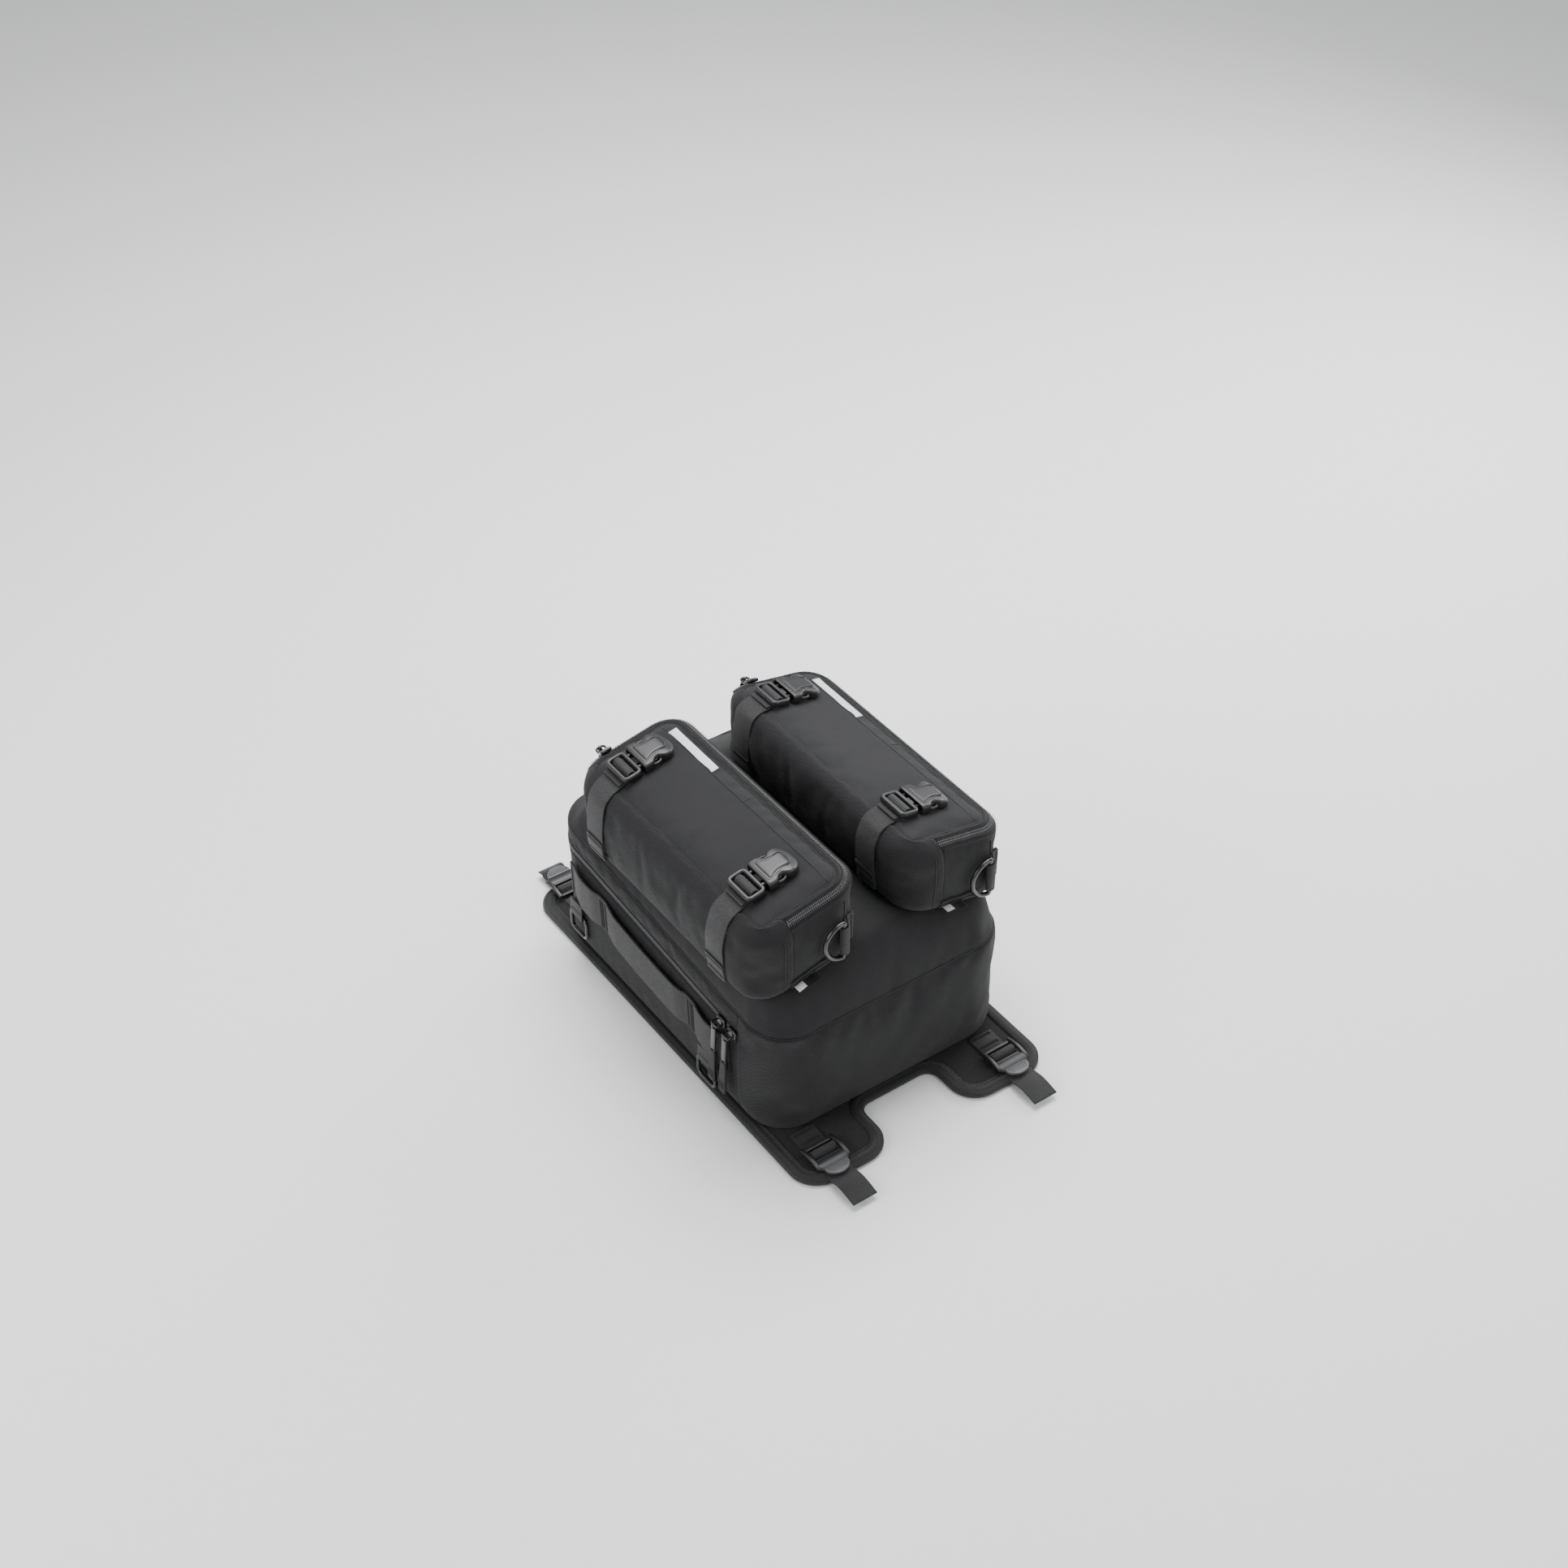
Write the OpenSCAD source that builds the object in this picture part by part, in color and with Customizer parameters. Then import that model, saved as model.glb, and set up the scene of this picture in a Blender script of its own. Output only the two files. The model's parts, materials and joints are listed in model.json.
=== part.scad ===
// Motorcycle tank bag: a zipped main bag on a base pad, with two zipped pods on its lid.
// Frame: +X to the rider's right, +Y forward, +Z up, origin at the centre of the resting base.

/* [Main bag] */
// Width of the main bag
bag_w = 256; // [220:2:310]
// Length of the main bag
bag_l = 346; // [290:2:420]
// Height of the lid seam at the rear
rear_h = 118; // [95:1:145]
// How much higher the lid seam is at the front
front_rise = 28; // [0:1:40]
// Radius of the four upright corners
corner_r = 38; // [24:1:48]
// Thickness of the padded walls
wall = 4; // [3:0.5:6]
// Depth of the lid's side band, from its seam to the zip
skirt_h = 18; // [14:1:24]
// Height of the lid's crown above the rear seam
crown_h = 60; // [50:1:72]

/* [Zips] */
// Width of a closed zip, both tapes together
zip_w = 10; // [8:1:14]
// Thickness of a zip tape with its teeth
tape_t = 2.4; // [1.6:0.2:3]
// Distance from the rear face to the end of the main zip
zip_end = 46; // [40:1:60]
// Length of a slider
slider_l = 12; // [9:1:14]
// Length of a main zip pull
main_pull_l = 72; // [50:1:74]
// Length of a pod zip pull
pod_pull_l = 44; // [30:1:50]

/* [Pods] */
// Length of a pod
pod_l = 280; // [220:2:290]
// Width of a pod
pod_w = 110; // [96:2:116]
// Height of a pod
pod_h = 78; // [66:1:96]
// Radius of a pod's upright corners
pod_r = 28; // [18:1:34]
// Thickness of a pod's walls
pod_wall = 3; // [2:0.5:4]
// Clear space between the two pods
pod_gap = 44; // [28:1:54]
// Outward slope of each pod's foot and top, in degrees
pod_slope = 11; // [4:0.5:13.5]
// Place of the pods' middle, forward of the bag's middle
pod_y = -16; // [-18:1:10]
// Distance from a pod's hinged side to the rear end of its zip
pod_zip_end = 36; // [34:1:46]
// Distance from a pod's hinged side to the front end of its zip
pod_front_end = 10; // [6:1:20]

/* [Webbing and buckles] */
// Width of the strap webbing
web_w = 25; // [20:1:26]
// Thickness of the strap webbing
web_t = 1.6; // [1.2:0.1:2]
// Width of the side webbing
grab_w = 36; // [28:1:40]
// Finger gap behind the long loop of the side webbing
grab_gap = 6; // [5:0.5:6]
// Outer width of a moulded buckle
buckle_w = 34; // [32:1:42]
// Length of a buckle's ladder end
ladder_l = 20; // [20:1:26]
// Length of a buckle's socket half
socket_l = 36; // [34:1:44]
// Height of a buckle's socket half
socket_h = 10; // [9.6:0.2:12]
// Length of a ladder lock
lock_l = 34; // [30:1:40]

/* [Base] */
// Thickness of the base pad
pad_t = 6; // [4:0.5:10]
// How far the base pad stands out past the bag
pad_margin = 4; // [2:0.5:10]
// Width of a base tab
tab_w = 92; // [70:1:96]
// Length of a rear tab past the pad's edge
rear_tab_l = 54; // [48:1:70]
// Length of a front tab past the pad's edge
front_tab_l = 40; // [36:1:60]
// Thickness of the stiffener board
board_t = 2; // [1.5:0.5:4]

/* [Hidden] */
clear = 0.3;
lid_t = 4;
pod_lid_t = 4;
crown_inset = 3;
roof_edge = 10;
roof_rear = 25;
roof_front = 57;
edge_band = 14;
zip_drop = skirt_h + zip_w / 2;
pitch = atan(front_rise / bag_l);
rear_y = -bag_l / 2;
front_y = bag_l / 2;
side_x = bag_w / 2;
tall = 3 * (rear_h + front_rise + crown_h);

// Side webbing, measured forward of the bag's middle, as shares of the straight side
straight = bag_l / 2 - corner_r;
sew_l = 14;
grab_t = 2;
small_gap = 3;
web_drop = skirt_h + zip_w + 8;
loop_ends = [[0.96, 0.66], [0.56, -0.38], [-0.48, -0.78]];
loop_gaps = [small_gap, grab_gap, small_gap];
ring_at = [-0.60, 0.94];
ring_l = 30;
ring_h = 26;
ring_rod = 3.6;
ring_tab_w = 20;
ring_tab_h = 16;

// Main zip sliders, measured forward of the zip's rear end
slider_w = 9;
slider_t = 4;
rear_slider_y = rear_y + zip_end + slider_l / 2 + 3;
front_slider_y = rear_slider_y + slider_l + 4;
pull_w = 9;
pull_t = 3;
main_bail_h = grab_gap + grab_t + pull_t + 0.5;
pod_bail_h = slider_t + pull_t + 2;

// Pods: places in a pod's own frame, whose origin is the middle of its foot
pod_x = (pod_w + pod_gap) / 2;
ridge_z = rear_h + crown_h;
pod_z = ridge_z - pod_x * tan(pod_slope) + clear / cos(pod_slope);
pod_rim = pod_h - pod_lid_t;
pod_zip_z = pod_rim - zip_w / 2;
hinge_x = -pod_w / 2;
strap_ys = [0.35 * pod_l, -0.31 * pod_l];
strap_foot = 4;
foot_zip_z = 5;
strap_top_gap = 1.5;

// Buckles: places along a lid's slope, measured from its hinged side
ladder_at = 20;
socket_at = ladder_at + ladder_l + 2;
bar = 4;
slot = 4;
prong_l = 20;
prong_t = 4;
male_t = 6;
male_z = web_t + clear;
prong_z = male_z + 1;
socket_floor = prong_z - clear;
socket_wall = 1.7;
thumb_r = 5;
pod_slider_x = hinge_x + pod_r + slider_l / 2;

// D-ring at the right end of each pod's rear face
dring_r = 19;
dring_rod = 2.2;
dring_web = 30;
dring_z = 31;
dring_x = pod_w / 2 - pod_r;
dring_stand = 9;
loop_t = 2;

// Base tabs and their straps
tab_r = 26;
tab_x = side_x + pad_margin - tab_w / 2;
binding_t = 1.4;
strap_x = side_x - 30;
rear_strap_l = 92;
front_strap_l = 70;
lock_gap = 22;
lock_t = 6;
lock_thumb_r = 11;

$fn = 48;

fabric = [0.20, 0.20, 0.21];
webbing = [0.27, 0.27, 0.28];
plastic = [0.08, 0.08, 0.09];
grip = [0.33, 0.33, 0.35];

// Height of the lid seam at a place along the bag
function seam_z(y) = rear_h + front_rise * (y - rear_y) / bag_l;

// A rounded rectangle, centred
module rounded(w, l, r) {
    square([w - 2 * r, l], center = true);
    square([w, l - 2 * r], center = true);
    for (sx = [-1, 1], sy = [-1, 1])
        translate([sx * (w / 2 - r), sy * (l / 2 - r)]) circle(r);
}

// The main bag's plan, grown or shrunk all round
module bag_plan(grow = 0) {
    rounded(bag_w + 2 * grow, bag_l + 2 * grow, corner_r + grow);
}

// Everything between two planes that run with the lid seam
module between(low, high) {
    rotate([90, 0, 90])
        linear_extrude(3 * bag_w, center = true)
            polygon([for (p = [[-1, low], [1, low], [1, high], [-1, high]])
                [p[0] * bag_l, seam_z(p[0] * bag_l) + p[1]]]);
}

// A band of the main bag's wall between two heights measured from the seam
module wall_band(low, high, t) {
    intersection() {
        linear_extrude(tall) difference() {
            bag_plan();
            bag_plan(-t);
        }
        between(low, high);
    }
}

// Keeps only what lies forward of the main zip's rear end
module past_zip_end(extra = 0) {
    translate([-bag_w, rear_y + zip_end + extra, 0]) cube([2 * bag_w, 2 * bag_l, tall]);
}

// ---- base ----
module pad_plan(grow = 0) {
    bag_plan(pad_margin + grow);
    for (sx = [-1, 1]) {
        tab_plan(sx, -1, rear_tab_l, grow);
        tab_plan(sx, 1, front_tab_l, grow);
    }
}

module tab_plan(sx, sy, reach, grow) {
    depth = reach + corner_r + pad_margin;
    middle = bag_l / 2 + pad_margin + reach - depth / 2;
    translate([sx * tab_x, sy * middle])
        rounded(tab_w + 2 * grow, depth + 2 * grow, tab_r + grow);
}

module base_pad() {
    color(fabric) linear_extrude(pad_t) pad_plan();
}

module base_binding() {
    color(webbing) translate([0, 0, pad_t * 0.1]) linear_extrude(pad_t * 0.9) difference() {
        pad_plan(binding_t);
        pad_plan();
    }
}

module floor_board() {
    color(plastic) translate([0, 0, pad_t + wall])
        linear_extrude(board_t) bag_plan(-wall - clear);
}

module flat_strap(sx, sy, reach) {
    start = bag_l / 2;
    translate([sx * strap_x - web_w / 2, sy > 0 ? start : -start - reach, pad_t])
        cube([web_w, reach, web_t]);
}

module rear_left_strap() { color(webbing) flat_strap(-1, -1, rear_strap_l); }
module rear_right_strap() { color(webbing) flat_strap(1, -1, rear_strap_l); }
module front_left_strap() { color(webbing) flat_strap(-1, 1, front_strap_l); }
module front_right_strap() { color(webbing) flat_strap(1, 1, front_strap_l); }

// A ladder lock: a frame with two slots and a round thumb tab at its far end
module ladder_lock(sx, sy) {
    far = lock_l - lock_thumb_r / 2;
    translate([sx * strap_x, sy * (bag_l / 2 + lock_gap), pad_t + web_t + clear])
        mirror([0, sy > 0 ? 0 : 1, 0]) {
            difference() {
                translate([-buckle_w / 2, 0, 0]) cube([buckle_w, far, lock_t]);
                for (k = [0, 1])
                    translate([-web_w / 2 - 0.5, bar + k * (bar + slot), -1])
                        cube([web_w + 1, slot, lock_t + 2]);
            }
            translate([0, far, 0]) intersection() {
                cylinder(h = lock_t / 2, r = lock_thumb_r);
                translate([-lock_thumb_r, 0, 0]) cube([2 * lock_thumb_r, lock_thumb_r, lock_t]);
            }
        }
}

module rear_left_ladder_lock() { color(plastic) ladder_lock(-1, -1); }
module rear_right_ladder_lock() { color(plastic) ladder_lock(1, -1); }
module front_left_ladder_lock() { color(plastic) ladder_lock(-1, 1); }
module front_right_ladder_lock() { color(plastic) ladder_lock(1, 1); }

// ---- main bag ----
module main_body_shell() {
    color(fabric) difference() {
        union() {
            intersection() {
                translate([0, 0, pad_t]) linear_extrude(tall) bag_plan();
                between(-tall, -skirt_h - zip_w);
            }
            intersection() {
                translate([0, 0, pad_t]) linear_extrude(tall) bag_plan();
                between(-tall, -lid_t - clear);
                translate([-bag_w, rear_y - 1, 0]) cube([2 * bag_w, zip_end + 1, tall]);
            }
        }
        translate([0, 0, pad_t + wall]) linear_extrude(tall) bag_plan(-wall);
    }
}

module main_zip_tape_lower() {
    color(webbing) intersection() {
        wall_band(-skirt_h - zip_w, -zip_drop - clear / 2, tape_t);
        past_zip_end();
    }
}

module front_pocket() {
    depth = 8;
    wide = bag_w - 2 * corner_r;
    low = pad_t + 16;
    high = seam_z(front_y) - web_drop - 6;
    color(fabric) translate([0, front_y, (low + high) / 2]) rotate([-90, 0, 0])
        linear_extrude(depth) rounded(wide, high - low, 20);
}

// One raised loop of the side webbing, seen from above, from y0 back to y1
module loop_plan(y0, y1, gap) {
    ramp = 2 * (gap + grab_t);
    difference() {
        polygon([[0, y0], [gap + grab_t, y0 - ramp], [gap + grab_t, y1 + ramp], [0, y1]]);
        polygon([[-1, y0 - 2.2 * grab_t], [0, y0 - 2.2 * grab_t], [gap, y0 - ramp - 1],
            [gap, y1 + ramp + 1], [0, y1 + 2.2 * grab_t], [-1, y1 + 2.2 * grab_t]]);
    }
}

module grab_webbing(sx) {
    front_sew = loop_ends[0][0] * straight;
    rear_sew = loop_ends[2][1] * straight;
    intersection() {
        translate([sx * side_x, 0, 0]) mirror([sx < 0 ? 1 : 0, 0, 0]) linear_extrude(tall) {
            for (k = [0:2])
                loop_plan(loop_ends[k][0] * straight, loop_ends[k][1] * straight, loop_gaps[k]);
            for (k = [0, 1])
                translate([0, loop_ends[k + 1][0] * straight - 1])
                    square([grab_t, (loop_ends[k][1] - loop_ends[k + 1][0]) * straight + 2]);
            translate([0, front_sew - 1]) square([grab_t, sew_l]);
            translate([0, rear_sew - sew_l + 1]) square([grab_t, sew_l]);
        }
        between(-web_drop - grab_w, -web_drop);
    }
}

module left_grab_webbing() { color(webbing) grab_webbing(-1); }
module right_grab_webbing() { color(webbing) grab_webbing(1); }

// Height of the lower edge of the side webbing, where the ring tabs start
function tab_top(y) = seam_z(y) - web_drop - grab_w - 1;

module ring_tabs(sx) {
    for (k = ring_at) {
        y = k * straight;
        translate([sx * (side_x + grab_t), y, tab_top(y) - ring_tab_h / 2])
            cube([2 * grab_t, ring_tab_w, ring_tab_h], center = true);
    }
}

module left_ring_tabs() { color(webbing) ring_tabs(-1); }
module right_ring_tabs() { color(webbing) ring_tabs(1); }

module side_ring(sx, k) {
    y = ring_at[k] * straight;
    middle = tab_top(y) - ring_tab_h - ring_h / 2;
    translate([sx * side_x, y, middle])
        rotate([90, 0, 90]) translate([0, 0, sx < 0 ? -ring_rod : 0])
            linear_extrude(ring_rod) difference() {
                rounded(ring_l, ring_h, 6);
                rounded(ring_l - 2 * ring_rod, ring_h - 2 * ring_rod, 3);
            }
}

module left_rear_side_ring() { color(plastic) side_ring(-1, 0); }
module left_front_side_ring() { color(plastic) side_ring(-1, 1); }
module right_rear_side_ring() { color(plastic) side_ring(1, 0); }
module right_front_side_ring() { color(plastic) side_ring(1, 1); }

// A slider lies on the origin, its tape in the plane x = 0, facing +X, its track along +Y
module slider_body(bail_h) {
    translate([clear, -slider_l / 2, -slider_w / 2]) cube([slider_t, slider_l, slider_w]);
    for (sy = [-1, 1])
        translate([clear + slider_t, sy * (slider_l / 2 - 1) - 1, -slider_w / 2])
            cube([bail_h - slider_t - clear, 2, 4]);
}

// A pull hangs down from between the bail's two cheeks
module pull_body(bail_h, len) {
    x = bail_h - pull_t;
    neck = slider_l - 4 - 2 * clear;
    translate([x, -neck / 2, -10]) cube([pull_t, neck, 14 - slider_w / 2]);
    translate([x, -pull_w / 2, -len]) cube([pull_t, pull_w, len - 9]);
}

module on_main_zip(y) {
    translate([-side_x, y, seam_z(y) - zip_drop]) rotate([pitch, 0, 0]) mirror([1, 0, 0])
        children();
}

module main_slider(y) { color(plastic) on_main_zip(y) slider_body(main_bail_h); }
module main_pull(y) { color(grip) on_main_zip(y) pull_body(main_bail_h, main_pull_l); }
module rear_zip_slider() { main_slider(rear_slider_y); }
module front_zip_slider() { main_slider(front_slider_y); }
module rear_zip_pull() { main_pull(rear_slider_y); }
module front_zip_pull() { main_pull(front_slider_y); }

// ---- lid ----
// The crown: from the seam up to a roof with one slope under each pod
module crown(inset, drop) {
    roof_x = side_x - roof_edge - inset;
    rear = rear_y + roof_rear + inset;
    front = front_y - roof_front - inset;
    hull() {
        intersection() {
            linear_extrude(tall) bag_plan(-crown_inset - inset, $fn = 32);
            between(-drop - 1, -drop);
        }
        translate([0, front, 0]) rotate([90, 0, 0]) linear_extrude(front - rear)
            polygon([[-roof_x, ridge_z - drop - roof_x * tan(pod_slope)], [0, ridge_z - drop],
                [roof_x, ridge_z - drop - roof_x * tan(pod_slope)], [0, ridge_z - drop - 25]]);
    }
}

module lid_shell() {
    color(fabric) difference() {
        union() {
            crown(0, 0);
            wall_band(-lid_t, 0, edge_band);
            intersection() {
                wall_band(-skirt_h, -lid_t, wall);
                past_zip_end(clear);
            }
        }
        crown(wall, lid_t);
    }
}

module lid_zip_tape_upper() {
    color(webbing) intersection() {
        wall_band(-zip_drop + clear / 2, -skirt_h, tape_t);
        past_zip_end(clear);
    }
}

// ---- pods, each in its own frame; s is -1 for the left one and 1 for the right one ----
module on_pod(s) {
    translate([s * pod_x, pod_y, pod_z]) children();
}

// Height of the sloping foot at a place across a pod
function foot_z(s, x) = -s * x * tan(pod_slope);

// The plane of a pod's top, with x measured along it from the hinged side
module on_pod_top(s) {
    on_pod(s) translate([hinge_x, 0, pod_h + foot_z(s, hinge_x)]) rotate([0, s * pod_slope, 0])
        children();
}

// Everything between two planes that run with a pod's sloping foot
module pod_between(s, low, high) {
    rotate([90, 0, 0])
        linear_extrude(2 * pod_l, center = true)
            polygon([for (p = [[-1, low], [1, low], [1, high], [-1, high]])
                [p[0] * pod_w, foot_z(s, p[0] * pod_w) + p[1]]]);
}

module pod_prism(s, low, high, shrink = 0) {
    intersection() {
        translate([0, 0, -pod_h]) linear_extrude(4 * pod_h)
            rounded(pod_w - 2 * shrink, pod_l - 2 * shrink, pod_r - shrink);
        pod_between(s, low, high);
    }
}

// The part of a pod's outline that its zip runs round
module zip_side(extra = 0) {
    for (half = [[-1, pod_zip_end], [1, pod_front_end]])
        translate([hinge_x + half[1] + extra, half[0] > 0 ? 0 : -pod_l, -pod_h])
            cube([2 * pod_w, pod_l, 4 * pod_h]);
}

module pod_shell(s) {
    color(fabric) on_pod(s) difference() {
        union() {
            pod_prism(s, 0, pod_rim - zip_w);
            difference() {
                pod_prism(s, 0, pod_rim - clear);
                zip_side();
            }
        }
        pod_prism(s, pod_wall, 2 * pod_h, pod_wall);
    }
}

module pod_tape(s, low, high, extra) {
    intersection() {
        difference() {
            pod_prism(s, low, high);
            pod_prism(s, low - 1, high + 1, tape_t);
        }
        zip_side(extra);
    }
}

module pod_zip_tape(s) {
    color(webbing) on_pod(s) pod_tape(s, pod_rim - zip_w, pod_zip_z - clear / 2, 0);
}

module pod_lid_zip_tape(s) {
    color(webbing) on_pod(s) pod_tape(s, pod_zip_z + clear / 2, pod_rim, clear);
}

module pod_lid(s) { color(fabric) on_pod(s) pod_prism(s, pod_rim, pod_h); }

module pod_foot_zip(s) {
    wide = pod_w - pod_r - pod_zip_end - 8;
    on_pod(s) intersection() {
        translate([hinge_x + pod_zip_end, -pod_l / 2 - tape_t / 2, -pod_h])
            cube([wide, tape_t / 2, 2 * pod_h]);
        pod_between(s, foot_zip_z, foot_zip_z + zip_w - 3);
    }
}

module pod_side_straps(s) {
    color(webbing) on_pod(s) intersection() {
        for (y = strap_ys)
            translate([hinge_x - web_t, y - web_w / 2, -pod_h]) cube([web_t, web_w, 3 * pod_h]);
        pod_between(s, strap_foot, pod_rim - strap_top_gap);
    }
}

module pod_lid_straps(s) {
    color(webbing) on_pod_top(s) for (y = strap_ys)
        translate([0, y - web_w / 2, 0]) cube([socket_at - 1, web_w, web_t]);
}

module pod_strip(s) {
    strip_l = 0.24 * pod_l;
    color("silver") on_pod_top(s)
        translate([pod_w - 26, pod_l / 2 - pod_r - strip_l, 0]) cube([9, strip_l, 0.5]);
}

module pod_label(s) {
    x = hinge_x + pod_zip_end + 2;
    on_pod(s) translate([x, -pod_l / 2 - 9, foot_z(s, x) + foot_zip_z - 2])
        rotate([0, s * pod_slope, 0]) cube([22, 9, 1]);
}

// A webbing loop with a bore that holds the D-ring's straight bar
module pod_ring_loop(s) {
    low = foot_z(s, dring_x) + dring_z - dring_web / 2;
    color(webbing) on_pod(s) translate([dring_x, -pod_l / 2, low]) difference() {
        union() {
            translate([-loop_t / 2, -dring_stand, 0]) cube([loop_t, dring_stand, dring_web]);
            translate([0, -dring_stand, 0]) cylinder(h = dring_web, r = dring_rod + clear + 1.5);
        }
        translate([0, -dring_stand, -1]) cylinder(h = dring_web + 2, r = dring_rod + clear);
    }
}

module pod_d_ring(s) {
    middle = foot_z(s, dring_x) + dring_z;
    color(plastic) on_pod(s) translate([dring_x, -pod_l / 2 - dring_stand, middle]) {
        translate([0, 0, -dring_r]) cylinder(h = 2 * dring_r, r = dring_rod);
        intersection() {
            rotate([90, 0, 0]) rotate_extrude() translate([dring_r, 0]) circle(dring_rod);
            translate([-2 * dring_r, -dring_r, -2 * dring_r])
                cube([2 * dring_r, 2 * dring_r, 4 * dring_r]);
        }
    }
}

// The socket half of a side-release buckle: a box open towards the clip, with finger notches
module buckle_socket(s, k) {
    inner = buckle_w - 2 * socket_wall;
    round_x = socket_l - buckle_w / 2;
    color(plastic) on_pod_top(s) translate([socket_at, strap_ys[k], 0]) difference() {
        union() {
            translate([0, -buckle_w / 2, 0]) cube([round_x, buckle_w, socket_h]);
            translate([round_x, 0, 0]) intersection() {
                cylinder(h = socket_h, r = buckle_w / 2);
                translate([0, -buckle_w / 2, 0]) cube([buckle_w, buckle_w, socket_h]);
            }
        }
        translate([-1, -inner / 2, socket_floor])
            cube([prong_l + 3, inner, prong_t + 2 * clear]);
        for (sy = [-1, 1])
            translate([prong_l / 2 + 2, sy * (buckle_w / 2 + 2.5), -1])
                cylinder(h = socket_h + 2, r = thumb_r);
    }
}

// The clip half: a ladder for the webbing and three prongs
module buckle_clip(s, k) {
    arm_w = 5;
    inner = buckle_w - 2 * socket_wall - 2 * clear;
    color(plastic) on_pod_top(s) translate([ladder_at, strap_ys[k], 0]) {
        translate([0, 0, male_z]) difference() {
            translate([0, -buckle_w / 2, 0]) cube([ladder_l, buckle_w, male_t]);
            for (k = [0, 1])
                translate([bar + k * (bar + slot), -web_w / 2 - 0.5, -1])
                    cube([slot, web_w + 1, male_t + 2]);
        }
        for (p = [[-inner / 2, arm_w], [-3, 6], [inner / 2 - arm_w, arm_w]])
            translate([ladder_l, p[0], prong_z]) cube([prong_l, p[1], prong_t]);
    }
}

// The pods' sliders run along the front face
module on_pod_zip(s) {
    on_pod(s) translate([pod_slider_x, pod_l / 2, foot_z(s, pod_slider_x) + pod_zip_z])
        rotate([0, s * pod_slope, 0]) rotate([0, 0, 90]) children();
}

module pod_slider(s) { color(plastic) on_pod_zip(s) slider_body(pod_bail_h); }
module pod_pull(s) { color(grip) on_pod_zip(s) pull_body(pod_bail_h, pod_pull_l); }

module pod_labels() { color(webbing) for (s = [-1, 1]) pod_label(s); }
module pod_foot_zips() { color(plastic) for (s = [-1, 1]) pod_foot_zip(s); }

module left_pod_shell() { pod_shell(-1); }
module left_pod_zip_tape() { pod_zip_tape(-1); }
module left_pod_side_straps() { pod_side_straps(-1); }
module left_pod_ring_loop() { pod_ring_loop(-1); }
module left_pod_d_ring() { pod_d_ring(-1); }
module left_pod_lid() { pod_lid(-1); }
module left_pod_lid_zip_tape() { pod_lid_zip_tape(-1); }
module left_pod_lid_straps() { pod_lid_straps(-1); }
module left_pod_strip() { pod_strip(-1); }
module left_pod_slider() { pod_slider(-1); }
module left_pod_pull() { pod_pull(-1); }
module left_front_socket() { buckle_socket(-1, 0); }
module left_rear_socket() { buckle_socket(-1, 1); }
module left_front_clip() { buckle_clip(-1, 0); }
module left_rear_clip() { buckle_clip(-1, 1); }

module right_pod_shell() { pod_shell(1); }
module right_pod_zip_tape() { pod_zip_tape(1); }
module right_pod_side_straps() { pod_side_straps(1); }
module right_pod_ring_loop() { pod_ring_loop(1); }
module right_pod_d_ring() { pod_d_ring(1); }
module right_pod_lid() { pod_lid(1); }
module right_pod_lid_zip_tape() { pod_lid_zip_tape(1); }
module right_pod_lid_straps() { pod_lid_straps(1); }
module right_pod_strip() { pod_strip(1); }
module right_pod_slider() { pod_slider(1); }
module right_pod_pull() { pod_pull(1); }
module right_front_socket() { buckle_socket(1, 0); }
module right_rear_socket() { buckle_socket(1, 1); }
module right_front_clip() { buckle_clip(1, 0); }
module right_rear_clip() { buckle_clip(1, 1); }

base_pad();
base_binding();
floor_board();
main_body_shell();
main_zip_tape_lower();
front_pocket();
left_grab_webbing();
right_grab_webbing();
left_ring_tabs();
right_ring_tabs();
left_front_side_ring();
left_rear_side_ring();
right_front_side_ring();
right_rear_side_ring();
rear_left_strap();
rear_right_strap();
front_left_strap();
front_right_strap();
rear_left_ladder_lock();
rear_right_ladder_lock();
front_left_ladder_lock();
front_right_ladder_lock();
lid_shell();
lid_zip_tape_upper();
pod_labels();
pod_foot_zips();
rear_zip_slider();
rear_zip_pull();
front_zip_slider();
front_zip_pull();
left_pod_shell();
left_pod_zip_tape();
left_pod_side_straps();
left_pod_ring_loop();
left_pod_d_ring();
left_pod_lid();
left_pod_lid_zip_tape();
left_pod_lid_straps();
left_pod_strip();
left_pod_slider();
left_pod_pull();
left_front_socket();
left_rear_socket();
left_front_clip();
left_rear_clip();
right_pod_shell();
right_pod_zip_tape();
right_pod_side_straps();
right_pod_ring_loop();
right_pod_d_ring();
right_pod_lid();
right_pod_lid_zip_tape();
right_pod_lid_straps();
right_pod_strip();
right_pod_slider();
right_pod_pull();
right_front_socket();
right_rear_socket();
right_front_clip();
right_rear_clip();
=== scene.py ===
# %% [markdown]
# # A motorcycle tank bag, sewn piece by piece
# The bag is soft luggage that rides on a fuel tank: a zipped main bag on a padded base, and two
# zipped pods buckled along its lid. Each step below says what one piece is on the real bag, how it
# could be made in Blender, and why it is made the way it is here.
#
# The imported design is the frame. It gives every size and place, so nothing is moved to fit later.

# %% Load the frame
import json
import math

import bmesh
import bpy
import numpy as np
from mathutils import Matrix, Vector, noise
from mathutils.bvhtree import BVHTree
from mathutils.geometry import delaunay_2d_cdt


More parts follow.
